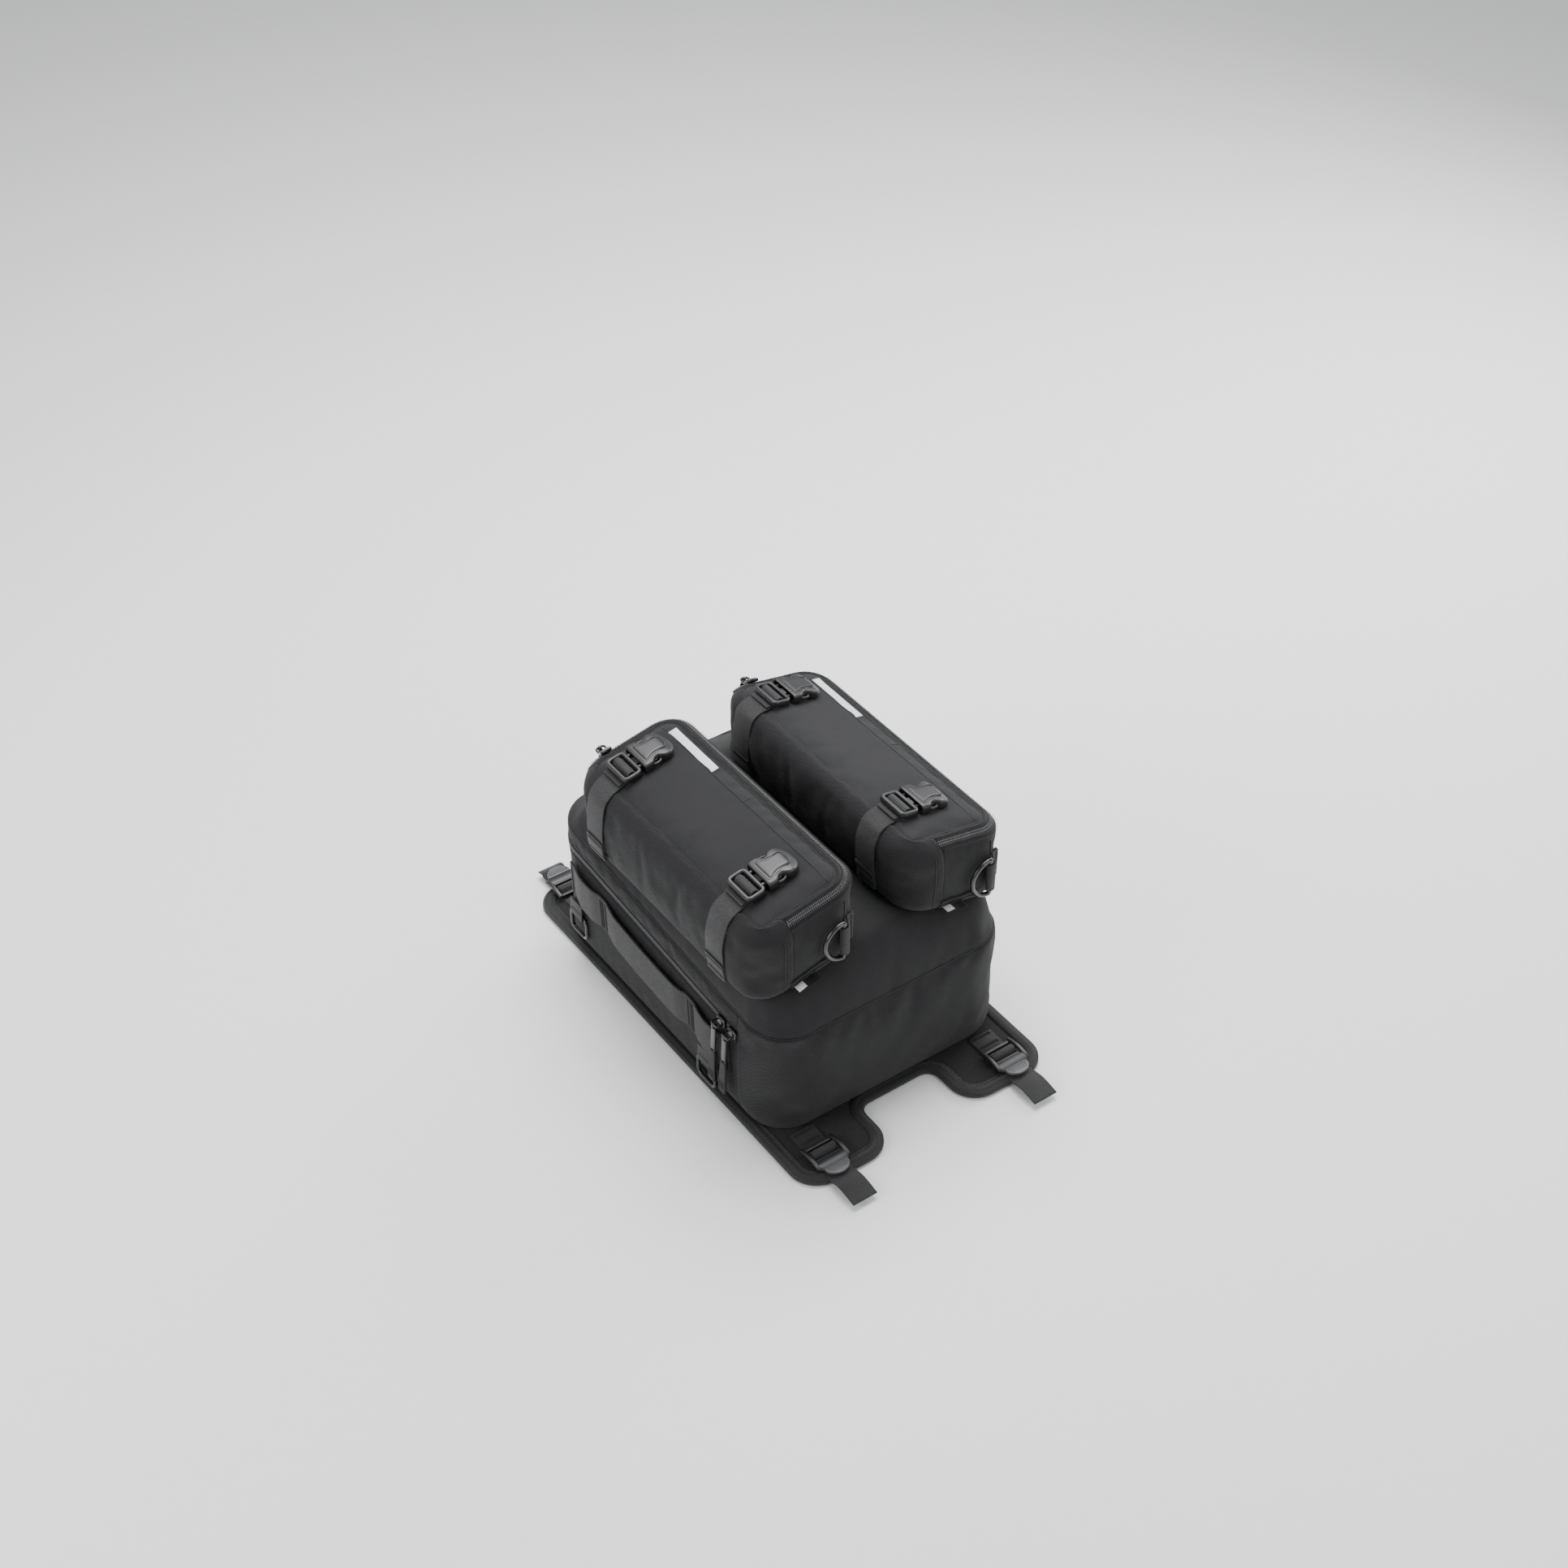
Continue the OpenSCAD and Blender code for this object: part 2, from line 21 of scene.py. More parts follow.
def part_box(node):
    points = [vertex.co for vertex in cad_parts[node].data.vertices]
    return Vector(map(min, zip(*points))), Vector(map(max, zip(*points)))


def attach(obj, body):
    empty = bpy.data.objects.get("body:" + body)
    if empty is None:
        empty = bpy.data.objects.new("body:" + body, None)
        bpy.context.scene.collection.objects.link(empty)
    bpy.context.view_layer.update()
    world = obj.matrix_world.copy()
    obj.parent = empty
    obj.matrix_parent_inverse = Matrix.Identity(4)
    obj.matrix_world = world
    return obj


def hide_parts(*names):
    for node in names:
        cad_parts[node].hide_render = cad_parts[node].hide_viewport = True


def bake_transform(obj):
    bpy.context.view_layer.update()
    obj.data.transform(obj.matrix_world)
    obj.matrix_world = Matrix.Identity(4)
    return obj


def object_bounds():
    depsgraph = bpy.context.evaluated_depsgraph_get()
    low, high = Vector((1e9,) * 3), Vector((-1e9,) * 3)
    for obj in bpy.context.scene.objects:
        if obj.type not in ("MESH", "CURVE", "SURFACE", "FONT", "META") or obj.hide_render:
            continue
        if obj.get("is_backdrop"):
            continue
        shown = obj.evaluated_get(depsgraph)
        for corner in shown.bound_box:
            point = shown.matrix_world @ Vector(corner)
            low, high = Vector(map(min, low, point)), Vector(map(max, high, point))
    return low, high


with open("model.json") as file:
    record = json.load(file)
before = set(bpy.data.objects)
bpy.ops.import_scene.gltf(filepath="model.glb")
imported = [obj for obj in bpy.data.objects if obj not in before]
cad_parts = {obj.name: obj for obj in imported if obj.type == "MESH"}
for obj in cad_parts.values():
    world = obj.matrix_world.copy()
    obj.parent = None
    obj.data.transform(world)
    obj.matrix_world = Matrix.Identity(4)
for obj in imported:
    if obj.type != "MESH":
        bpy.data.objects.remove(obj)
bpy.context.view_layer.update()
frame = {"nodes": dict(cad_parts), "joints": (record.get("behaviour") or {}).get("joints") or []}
SIDES = {"left": -1, "right": 1}

# %% [markdown]
# ## Sizes
# A bag maker works in millimetres, so the shapes below do too, and turn into metres only when a mesh
# is made. The driving sizes are read from the boxes of the frame's nodes and from its joints. The few
# that no box shows, such as how deep the lid's side band is, are named here.

# %% Read the driving sizes
def box_mm(node):
    low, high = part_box(node)
    return np.array(low) * 1000, np.array(high) * 1000


joints = {joint["name"]: joint for joint in frame["joints"]}
lid_low, lid_high = box_mm("lid_shell")
half_w, rear_y, front_y, ridge_z = lid_high[0], lid_low[1], lid_high[1], lid_high[2]
bag_w, bag_l = 2 * half_w, front_y - rear_y
corner_r, skirt_h, zip_w, pad_t = 38, 18, 10, box_mm("base_pad")[1][2]
hinge_drop = 4.15
rear_seam = joints["main_lid_hinge"]["pos_m"][2] * 1000 + hinge_drop
front_seam = box_mm("main_body_shell")[1][2] + skirt_h + zip_w
pitch = math.atan((front_seam - rear_seam) / bag_l)
slope = math.asin(abs(joints["left_front_clip_release"]["axis"][2]))
lean = math.tan(slope)
pod_low, pod_high = box_mm("right_pod_shell")
pod_w, pod_l = pod_high[0] - pod_low[0], pod_high[1] - pod_low[1]
pod_x, pod_y = (pod_low[0] + pod_high[0]) / 2, (pod_low[1] + pod_high[1]) / 2
pod_z = pod_low[2] + pod_w / 2 * lean
pod_h = box_mm("right_pod_lid")[1][2] - pod_z - pod_w / 2 * lean
pod_r, pod_zip_end, pod_front_end, zip_end = 28, 36, 10, 46
web_w, web_t = 25, 1.6
strap_ys = [sum(c[1] for c in box_mm(f"left_{end}_socket")) / 2 - pod_y for end in ("front", "rear")]


def seam_z(y):
    return rear_seam + (front_seam - rear_seam) * (y - rear_y) / bag_l


print("bag", bag_w, bag_l, "pod", pod_w, pod_l, "pod height", round(pod_h, 1), "straps", strap_ys)

# %% [markdown]
# ## Camera, floor and light
# The camera comes first, so that each piece can be judged in the picture it is for. It looks down
# from behind the rider's left shoulder. The light is a big soft panel above, a weaker one on each
# side, and a pale sky, as in a studio: black cloth shows its shape only by broad soft light.

# %% Camera, floor and light
def look_from(azimuth, elevation):
    a, e = math.radians(azimuth), math.radians(elevation)
    back = Vector((math.sin(a) * math.cos(e), -math.cos(a) * math.cos(e), math.sin(e)))
    right = Vector((math.cos(a), math.sin(a), 0))
    return back, right, back.cross(right)


back, right, up = look_from(-35.4, 39.9)
camera_data = bpy.data.cameras.new("camera")
camera_data.sensor_width, camera_data.lens = 36, 55.9
camera = bpy.data.objects.new("camera", camera_data)
camera.location = back * 2.244 + right * 0.0057 + up * 0.1757
camera.rotation_mode = "QUATERNION"
camera.rotation_quaternion = Matrix((right, up, back)).transposed().to_quaternion()
bpy.context.scene.collection.objects.link(camera)
bpy.context.scene.camera = camera


def area_light(name, place, target, size, power):
    data = bpy.data.lights.new(name, "AREA")
    data.shape, data.size, data.energy = "SQUARE", size, power
    light = bpy.data.objects.new(name, data)
    light.location = place
    light.rotation_euler = (Vector(target) - Vector(place)).to_track_quat("-Z", "Y").to_euler()
    bpy.context.scene.collection.objects.link(light)


middle = (0, 0, 0.12)
area_light("top_panel", (0.3, 0.6, 1.9), middle, 1.3, 66)
area_light("left_panel", (-1.7, 0.1, 1.0), middle, 1.0, 20)
area_light("right_panel", (1.6, 0.3, 1.0), middle, 1.0, 22)
area_light("rear_panel", (0.5, -1.8, 1.0), middle, 1.0, 13)
world = bpy.data.worlds.new("pale_sky")
world.use_nodes = True
sky = world.node_tree.nodes["Background"]
sky.inputs["Color"].default_value = (0.95, 0.97, 1.0, 1)
sky.inputs["Strength"].default_value = 0.5
bpy.context.scene.world = world

# %% [markdown]
# ## Mesh helpers
# Nearly every piece of a bag is one of two things: a panel, which is a grid of points, or a strip
# pulled along a line, such as webbing, binding, a ring or a thread. So two helpers make most of
# the bag. Both lay a flat map of millimetres over the cloth, and the weave is drawn on that map, so
# that its threads keep their real size and follow the panel.

# %% Helpers for panels
def add_object(name, mesh, *materials):
    obj = bpy.data.objects.new(name, mesh)
    bpy.context.scene.collection.objects.link(obj)
    for material in materials:
        mesh.materials.append(material)
    return obj


def mesh_from(name, points, faces, material, flat_map=None, tidy=False):
    """Makes a mesh from points in mm. flat_map has one (u, v) in mm for each corner of each face."""
    used = sorted({k for face in faces for k in face})
    place_of = {k: n for n, k in enumerate(used)}
    mesh = bpy.data.meshes.new(name)
    mesh.from_pydata([[0.001 * float(c) for c in points[k]] for k in used], [],
                     [[place_of[k] for k in face] for face in faces])
    if flat_map is not None:
        layer = mesh.uv_layers.new(name="cloth")
        layer.data.foreach_set("uv", (0.001 * np.array(flat_map, float)).ravel())
    if tidy:
        work = bmesh.new()
        work.from_mesh(mesh)
        bmesh.ops.remove_doubles(work, verts=work.verts, dist=1e-6)
        bmesh.ops.recalc_face_normals(work, faces=work.faces)
        work.to_mesh(mesh)
        work.free()
    mesh.polygons.foreach_set("use_smooth", [True] * len(mesh.polygons))
    return add_object(name, mesh, material)


def grid_piece(name, rows, material, flat, closed=True, keep=None, caps=(), tidy=False):
    """A panel from rows of points. keep says which faces are wanted, and caps adds faces of its own."""
    rows = np.asarray(rows, float)
    count, wide = rows.shape[:2]
    faces, corners = [], []
    for i in range(count - 1):
        for j in range(wide if closed else wide - 1):
            if keep is None or keep[i, j]:
                around = [(i, j), (i + 1, j), (i + 1, j + 1), (i, j + 1)]
                faces.append([a * wide + b % wide for a, b in around])
                corners += [flat[a][b] for a, b in around]
    for cap in caps:
        faces.append([a * wide + b for a, b in cap])
        corners += [flat[a][b] for a, b in cap]
    return mesh_from(name, rows.reshape(-1, 3), faces, material, corners, tidy)


def unit(vectors):
    vectors = np.asarray(vectors, float)
    return vectors / np.maximum(np.linalg.norm(vectors, axis=-1, keepdims=True), 1e-9)


def running_length(points, closed=False):
    points = np.asarray(points, float)
    ends = np.vstack([points, points[:1]]) if closed else points
    return np.concatenate([[0], np.cumsum(np.linalg.norm(np.diff(ends, axis=0), axis=1))])


def headings(points, closed=False):
    points = np.asarray(points, float)
    if closed:
        return unit(np.roll(points, -1, 0) - np.roll(points, 1, 0))
    return unit(np.gradient(points, axis=0))


def even(points, step, closed=False):
    """The same line with its points an even distance apart."""
    points = np.asarray(points, float)
    along = running_length(points, closed)
    ends = np.vstack([points, points[:1]]) if closed else points
    count = max(2, round(along[-1] / step))
    at = np.linspace(0, along[-1], count + 1)[: count if closed else None]
    return np.stack([np.interp(at, along, ends[:, k]) for k in range(points.shape[1])], 1)


# %% Helpers for strips, rings and threads
def oval(half_a, half_b, count=12):
    turn = np.linspace(0, 2 * math.pi, count, endpoint=False)
    return np.stack([half_a * np.cos(turn), half_b * np.sin(turn)], 1)


def soft_box(low_a, high_a, low_b, high_b, radius, steps=3):
    """The outline of a box with rounded corners."""
    points = []
    for turn, (a, b) in enumerate([(high_a, high_b), (low_a, high_b), (low_a, low_b), (high_a, low_b)]):
        centre = np.array([a - radius * (1 if a == high_a else -1), b - radius * (1 if b == high_b else -1)])
        for k in range(steps + 1):
            angle = math.pi / 2 * (turn + k / steps)
            points.append(centre + radius * np.array([math.cos(angle), math.sin(angle)]))
    return np.array(points)


def band(width, thick, edge=0.45):
    return soft_box(-width / 2, width / 2, -thick / 2, thick / 2, min(edge, thick * 0.49), 2)


def sweep(name, line, outward, section, material, closed=False, across=None):
    """Pulls a section along a line. Its second axis points outward, and its first lies across."""
    line = np.asarray(line, float)
    ahead = headings(line, closed)
    outward = np.broadcast_to(np.asarray(outward, float), line.shape)
    side = unit(np.cross(ahead, outward)) if across is None else unit(np.broadcast_to(across, line.shape))
    out = unit(np.cross(side, ahead))
    rows = line[:, None] + side[:, None] * section[None, :, :1] + out[:, None] * section[None, :, 1:]
    along, around = running_length(line, closed), running_length(section, True)
    if closed:
        rows = np.concatenate([rows, rows[:1]])
    flat = np.stack(np.meshgrid(around, along, indexing="ij"), -1).transpose(1, 0, 2)
    caps = [] if closed else [[(0, j) for j in range(len(section))],
                              [(len(rows) - 1, j) for j in range(len(section))]]
    return grid_piece(name, rows, material, flat, caps=caps, tidy=True)


def outline_with_arcs(corners, radii, step=2.0):
    """Walks round a polygon and swaps each corner for an arc."""
    points, count = [], len(corners)
    for k in range(count):
        before, here, after = (np.array(corners[(k + d) % count], float) for d in (-1, 0, 1))
        a, b = unit(before - here), unit(after - here)
        half = math.acos(np.clip(a @ b, -1, 1)) / 2
        if radii[k] == 0:
            points.append(here)
            continue
        centre = here + unit(a + b) * radii[k] / math.sin(half)
        start, end = (here + way * radii[k] / math.tan(half) - centre for way in (a, b))
        first = math.atan2(start[1], start[0])
        turn = (math.atan2(end[1], end[0]) - first + math.pi) % (2 * math.pi) - math.pi
        for t in np.linspace(0, 1, max(3, math.ceil(abs(turn) * radii[k] / step))):
            angle = first + t * turn
            points.append(centre + radii[k] * np.array([math.cos(angle), math.sin(angle)]))
    return np.array(points)


def finished(obj, levels=0, thick=0):
    """Adds the modifiers that smooth a piece or give it thickness."""
    if levels:
        smooth = obj.modifiers.new("smooth", "SUBSURF")
        smooth.levels = smooth.render_levels = levels
    if thick:
        solid = obj.modifiers.new("thickness", "SOLIDIFY")
        solid.thickness, solid.offset = thick * 0.001, -1
    return obj


def fixed(obj):
    """Applies the modifiers, so that the mesh is final."""
    view = bpy.context.evaluated_depsgraph_get()
    mesh = bpy.data.meshes.new_from_object(obj.evaluated_get(view), depsgraph=view)
    obj.modifiers.clear()
    obj.data = mesh
    return obj


def joined(name, pieces):
    """Makes one object of several, each keeping its material."""
    for piece in pieces:
        if piece.modifiers:
            fixed(piece)
    with bpy.context.temp_override(active_object=pieces[0], selected_editable_objects=pieces):
        bpy.ops.object.join()
    pieces[0].name = name
    return pieces[0]


def placed(obj, matrix):
    obj.data.transform(matrix)
    obj.data.update()
    return obj


def dress(obj, body, slot, *nodes):
    """Makes a finished piece ride on its body and stand for its frame nodes, which it hides; slot is not
    used.
    """
    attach(obj, body)
    if nodes:
        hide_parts(*nodes)
    return obj

# %% [markdown]
# ## Materials
# All of the bag is black, so the finishes must differ in weave, gloss and grain or the pieces would
# melt together. The cloth is a tight twill whose diagonal ribs show in grazing light. Webbing has
# ribs across it, binding tape a herringbone, moulded buckles a satin skin, and sliders hard enamel.
# The node helper keeps each recipe down to the maths of its pattern.

# %% Node helpers
class Recipe:
    """A material whose nodes are written as sums."""

    def __init__(self, name):
        self.material = bpy.data.materials.new(name)
        self.material.use_nodes = True
        self.nodes, self.links = self.material.node_tree.nodes, self.material.node_tree.links
        self.shader = self.nodes["Principled BSDF"]

    def put(self, socket, value):
        if isinstance(value, bpy.types.NodeSocket):
            self.links.new(value, socket)
        else:
            socket.default_value = value

    def math(self, operation, *values):
        node = self.nodes.new("ShaderNodeMath")
        node.operation = operation
        for socket, value in zip(node.inputs, values):
            self.put(socket, value)
        return node.outputs[0]

    def flat_map(self):
        """The cloth's own flat map in millimetres: across and along."""
        node = self.nodes.new("ShaderNodeUVMap")
        node.uv_map = "cloth"
        split = self.nodes.new("ShaderNodeSeparateXYZ")
        self.links.new(node.outputs["UV"], split.inputs[0])
        return [self.math("MULTIPLY", split.outputs[k], 1000.0) for k in (0, 1)]

    def cloudy(self, scale, detail=3.0, stretch=(1, 1, 1)):
        """A soft noise in the object's own space, with scale in waves to the metre."""
        where = self.nodes.new("ShaderNodeTexCoord")
        size = self.nodes.new("ShaderNodeMapping")
        size.inputs["Scale"].default_value = stretch
        noise_node = self.nodes.new("ShaderNodeTexNoise")
        noise_node.inputs["Scale"].default_value = scale
        noise_node.inputs["Detail"].default_value = detail
        self.links.new(where.outputs["Object"], size.inputs["Vector"])
        self.links.new(size.outputs["Vector"], noise_node.inputs["Vector"])
        return noise_node.outputs["Fac"]

    def ribs(self, value, pitch):
        """A wave from 0 to 1 with that pitch."""
        wave = self.math("SINE", self.math("MULTIPLY", value, 2 * math.pi / pitch))
        return self.math("MULTIPLY_ADD", wave, 0.5, 0.5)

    def between(self, low, high, value):
        """Goes from low to high, which are colours or numbers, as value goes from 0 to 1."""
        node = self.nodes.new("ShaderNodeMix")
        colour = isinstance(low, tuple)
        node.data_type = "RGBA" if colour else "FLOAT"
        first, second, out = (6, 7, 2) if colour else (2, 3, 0)
        self.put(node.inputs[0], value)
        self.put(node.inputs[first], (*low, 1) if colour else low)
        self.put(node.inputs[second], (*high, 1) if colour else high)
        return node.outputs[out]

    def finish(self, colour, roughness, height=None, depth=0.2, sheen=0.0, specular=0.5, coat=0.0):
        self.put(self.shader.inputs["Base Color"], colour)
        self.put(self.shader.inputs["Roughness"], roughness)
        for socket, value in (("Sheen Weight", sheen), ("Sheen Roughness", 0.4), ("Coat Weight", coat),
                              ("Coat Roughness", 0.1), ("Specular IOR Level", specular)):
            self.shader.inputs[socket].default_value = value
        if height is not None:
            bump = self.nodes.new("ShaderNodeBump")
            bump.inputs["Strength"].default_value = 1.0
            bump.inputs["Distance"].default_value = depth * 0.001
            self.links.new(height, bump.inputs["Height"])
            self.links.new(bump.outputs["Normal"], self.shader.inputs["Normal"])
        return self.material


# %% Cloth, webbing and tape
def twill(name, dark, light, pitch=1.5, depth=0.16, roughness=0.8):
    """Tight polyester cloth: diagonal ribs, crossing threads, painted shade in the rib hollows, and worn
    patches.
    """
    r = Recipe(name)
    u, v = r.flat_map()
    diagonal = r.ribs(r.math("ADD", u, v), pitch)
    threads = r.math("MULTIPLY", r.ribs(u, pitch * 0.5), r.ribs(v, pitch * 0.5))
    fuzz = r.cloudy(900.0, 2.0)
    height = r.math("ADD", r.math("MULTIPLY_ADD", threads, 0.35, diagonal), r.math("MULTIPLY", fuzz, 0.5))
    wear = r.cloudy(9.0, 4.0)
    # The tone is darker in the hollows of the diagonal ribs, which is painted shade, and varies in broad
    # patches of wear.
    tone = r.math("ADD", r.math("MULTIPLY", diagonal, 0.45), r.math("MULTIPLY", wear, 0.55))
    colour = r.between(dark, light, tone)
    rough = r.between(roughness - 0.08, roughness + 0.08, fuzz)
    return r.finish(colour, rough, height, depth, sheen=0.1, specular=0.26)


def webbing_finish(name, dark, light, pitch=1.35, depth=0.4):
    """Woven webbing: ribs across, and rows of warp threads along."""
    r = Recipe(name)
    u, v = r.flat_map()
    row = r.ribs(u, 2.1)
    rib = r.ribs(r.math("MULTIPLY_ADD", row, 0.35, v), pitch)
    height = r.math("MULTIPLY_ADD", rib, 0.8, r.math("MULTIPLY", row, 0.3))
    tone = r.math("ADD", r.math("MULTIPLY", rib, 0.6), r.math("MULTIPLY", r.cloudy(60.0), 0.4))
    return r.finish(r.between(dark, light, tone), r.between(0.5, 0.72, r.cloudy(300.0)), height, depth,
                    sheen=0.12, specular=0.4)


def herringbone(name, dark, light, depth=0.35):
    """Binding tape: slanting ribs that turn back every few millimetres."""
    r = Recipe(name)
    u, v = r.flat_map()
    zigzag = r.math("PINGPONG", u, 3.2)
    rib = r.ribs(r.math("ADD", zigzag, v), 1.6)
    return r.finish(r.between(dark, light, rib), r.between(0.6, 0.8, r.cloudy(200.0)), rib, depth,
                    sheen=0.12, specular=0.35)


def moulded(name, colour, light, roughness, depth=0.03, specular=0.5, coat=0.0):
    """A moulded or cast finish: fine orange peel, and faint rubbed patches."""
    r = Recipe(name)
    peel, rub = r.cloudy(2200.0, 2.0), r.cloudy(70.0, 3.0)
    return r.finish(r.between(colour, light, rub), r.between(roughness - 0.05, roughness + 0.09, rub),
                    peel, depth, specular=specular, coat=coat)


cloth = twill("pack_cloth", (0.005, 0.005, 0.0056), (0.0155, 0.0155, 0.0168), 1.5, 0.26)
# The lid cloth has a finer weave of its own. Its colours are a little lighter than the pack cloth's, which
# paints the light on the lit tops.
smooth_lit_cloth = twill("lid_cloth_painted_light", (0.007, 0.007, 0.0078), (0.0165, 0.0165, 0.0178), 1.0, 0.13, 0.76)
webbing = webbing_finish("ribbed_webbing", (0.004, 0.004, 0.0044), (0.026, 0.026, 0.0275))
binding = herringbone("herringbone_binding", (0.004, 0.004, 0.0044), (0.028, 0.028, 0.0295))
tape_cloth = twill("zip_tape_cloth", (0.004, 0.004, 0.0044), (0.012, 0.012, 0.013), 0.8, 0.12)
thread = webbing_finish("black_thread", (0.004, 0.004, 0.0044), (0.014, 0.014, 0.015), 0.6, 0.1)
# The seam cords are coloured darker than the thread: painted shade of the sunken seam grooves.
seam_shade_cord_finish = webbing_finish("sunken_seam_painted_shade", (0.0012, 0.0012, 0.0013), (0.004, 0.004, 0.0042), 0.6, 0.1)
teeth_finish = moulded("zip_coil", (0.018, 0.018, 0.019), (0.034, 0.034, 0.036), 0.3, 0.01, 0.7)
satin = moulded("satin_moulding", (0.007, 0.007, 0.008), (0.014, 0.014, 0.0152), 0.4, 0.02, 0.55)
enamel = moulded("black_enamel", (0.004, 0.004, 0.0045), (0.009, 0.009, 0.0097), 0.22, 0.01, coat=0.4)
rubber = moulded("soft_rubber", (0.007, 0.007, 0.0076), (0.013, 0.013, 0.014), 0.58, 0.06, 0.4)
board = moulded("stiffener_board", (0.018, 0.018, 0.019), (0.03, 0.03, 0.031), 0.6, 0.08)
strip_finish = moulded("pale_strip", (0.55, 0.56, 0.58), (0.72, 0.73, 0.75), 0.42, 0.05)
label_finish = twill("woven_patch", (0.6, 0.6, 0.6), (0.8, 0.8, 0.8), 0.6, 0.06)

floor_mesh = bpy.data.meshes.new("floor")
FLOOR_HALF, FLOOR_LEVEL = 6, -0.0005
floor_corners = [(-FLOOR_HALF, -FLOOR_HALF), (FLOOR_HALF, -FLOOR_HALF), (FLOOR_HALF, FLOOR_HALF),
                 (-FLOOR_HALF, FLOOR_HALF)]
floor_mesh.from_pydata([(x, y, FLOOR_LEVEL) for x, y in floor_corners], [], [(0, 1, 2, 3)])
floor = add_object("floor", floor_mesh, moulded("pale_floor", (0.8, 0.8, 0.8), (0.84, 0.84, 0.84), 0.7))
floor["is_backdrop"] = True

# %% [markdown]
# ## Sewn covers
# The main bag and each pod are lofted as one closed cover, as if all their zips were shut. A cover
# is a stack of rings, each a rounded rectangle with the same number of points, so a ring number is
# a height and a column number is a place round the bag. Cloth simulation then blows the cover up a
# little, with the rings at seams and zips pinned: the panels swell and pucker between their seams,
# as packed ones do. Last the cover is cut along its zips into the pieces that move apart.

# %% Rings and the simulation
COUNTS = {"main": (46, 30, 9), "pod": (44, 12, 9)}
PRESSURE, STRETCH, CLOTH_STEPS = 3.0, 0.012, 20


def plan_ring(width, length, inset, radii, counts):
    """A rounded rectangle, clockwise from the rear end of the left side. radii: rear left, front left,
    front right, rear right. Gives its points and the outward direction at each."""
    long_count, wide_count, arc_count = counts
    x, y = width / 2 - inset, length / 2 - inset
    r = [max(0.6, min(radius, x - 0.2)) for radius in radii]
    centres = [(-x + r[0], -y + r[0]), (-x + r[1], y - r[1]), (x - r[2], y - r[2]), (x - r[3], -y + r[3])]
    points, ways = [], []
    for k in range(4):
        start = 1.5 * math.pi - k * math.pi / 2
        for t in np.linspace(0, 1, arc_count):
            angle = start - t * math.pi / 2
            way = np.array([math.cos(angle), math.sin(angle)])
            points.append(np.array(centres[k]) + r[k] * way)
            ways.append(way)
        following, last = (k + 1) % 4, points[-1]
        angle = start - math.pi / 2
        way = np.array([math.cos(angle), math.sin(angle)])
        ahead = np.array(centres[following]) + r[following] * way
        for t in np.linspace(0, 1, (long_count if k % 2 == 0 else wide_count) + 2)[1:-1]:
            points.append(last + t * (ahead - last))
            ways.append(way)
    return np.array(points), np.array(ways)


def spine_caps(row, counts):
    """Closes the last, very thin ring: quads across it, and one small face at each end."""
    long_count, wide_count, arc_count = counts
    left = [arc_count + k for k in range(long_count)]
    first_right = 3 * arc_count + long_count + wide_count
    right_side = [first_right + k for k in range(long_count)][::-1]
    total = 4 * arc_count + 2 * (long_count + wide_count)
    caps = [[(row, left[k]), (row, left[k + 1]), (row, right_side[k + 1]), (row, right_side[k])]
            for k in range(long_count - 1)]
    front = list(range(left[-1], right_side[-1] + 1))
    rear = [k % total for k in range(right_side[0], total + left[0] + 1)]
    return [c[::-1] for c in caps] + [[(row, k) for k in ends][::-1] for ends in (front, rear)]


def swell(rows, caps, held, cap, pressure, stretch):
    """Blows a closed cover up and returns its rows of points. held says which points are pinned, and
    cap is how far each row of points may move, in mm."""
    count, wide = rows.shape[:2]
    flat = np.zeros((count, wide + 1, 2))
    trial = grid_piece("trial_cover", rows, None, flat, caps=caps)
    group = trial.vertex_groups.new(name="seams")
    group.add([int(k) for k in np.flatnonzero(held.ravel())], 1.0, "REPLACE")
    cloth_modifier = trial.modifiers.new("cloth", "CLOTH")
    settings = cloth_modifier.settings
    settings.vertex_group_mass = "seams"
    settings.use_pressure, settings.uniform_pressure_force = True, pressure
    settings.effector_weights.gravity = 0
    settings.quality, settings.mass = 6, 0.25
    settings.tension_stiffness = settings.compression_stiffness = 12
    settings.shear_stiffness, settings.bending_stiffness = 5, 0.35
    settings.shrink_min = -stretch
    scene = bpy.context.scene
    for step in range(1, CLOTH_STEPS + 1):
        scene.frame_set(step)
    view = bpy.context.evaluated_depsgraph_get()
    mesh = trial.evaluated_get(view).data
    moved = np.zeros(len(mesh.vertices) * 3)
    mesh.vertices.foreach_get("co", moved)
    moved = moved.reshape(-1, 3).reshape(rows.shape) * 1000
    scene.frame_set(1)
    bpy.data.objects.remove(trial)
    shift = moved - rows
    far = np.linalg.norm(shift, axis=2, keepdims=True)
    most = np.broadcast_to(np.asarray(cap, float)[..., None], far.shape)
    return rows + shift * np.where(far > 1e-6, most * np.tanh(far / most) / np.maximum(far, 1e-6), 1)


def top_map(rows):
    """Flat map for a lid: it is seen from above."""
    closed = np.concatenate([rows, rows[:, :1]], 1)
    return closed[..., :2].copy()


def ripples(place, size, seed):
    """A smooth random number from -1 to 1 at a place in mm, the same on every run."""
    return noise.noise(Vector([float(c) / size for c in place]) + Vector((seed, 2 * seed, -seed)))


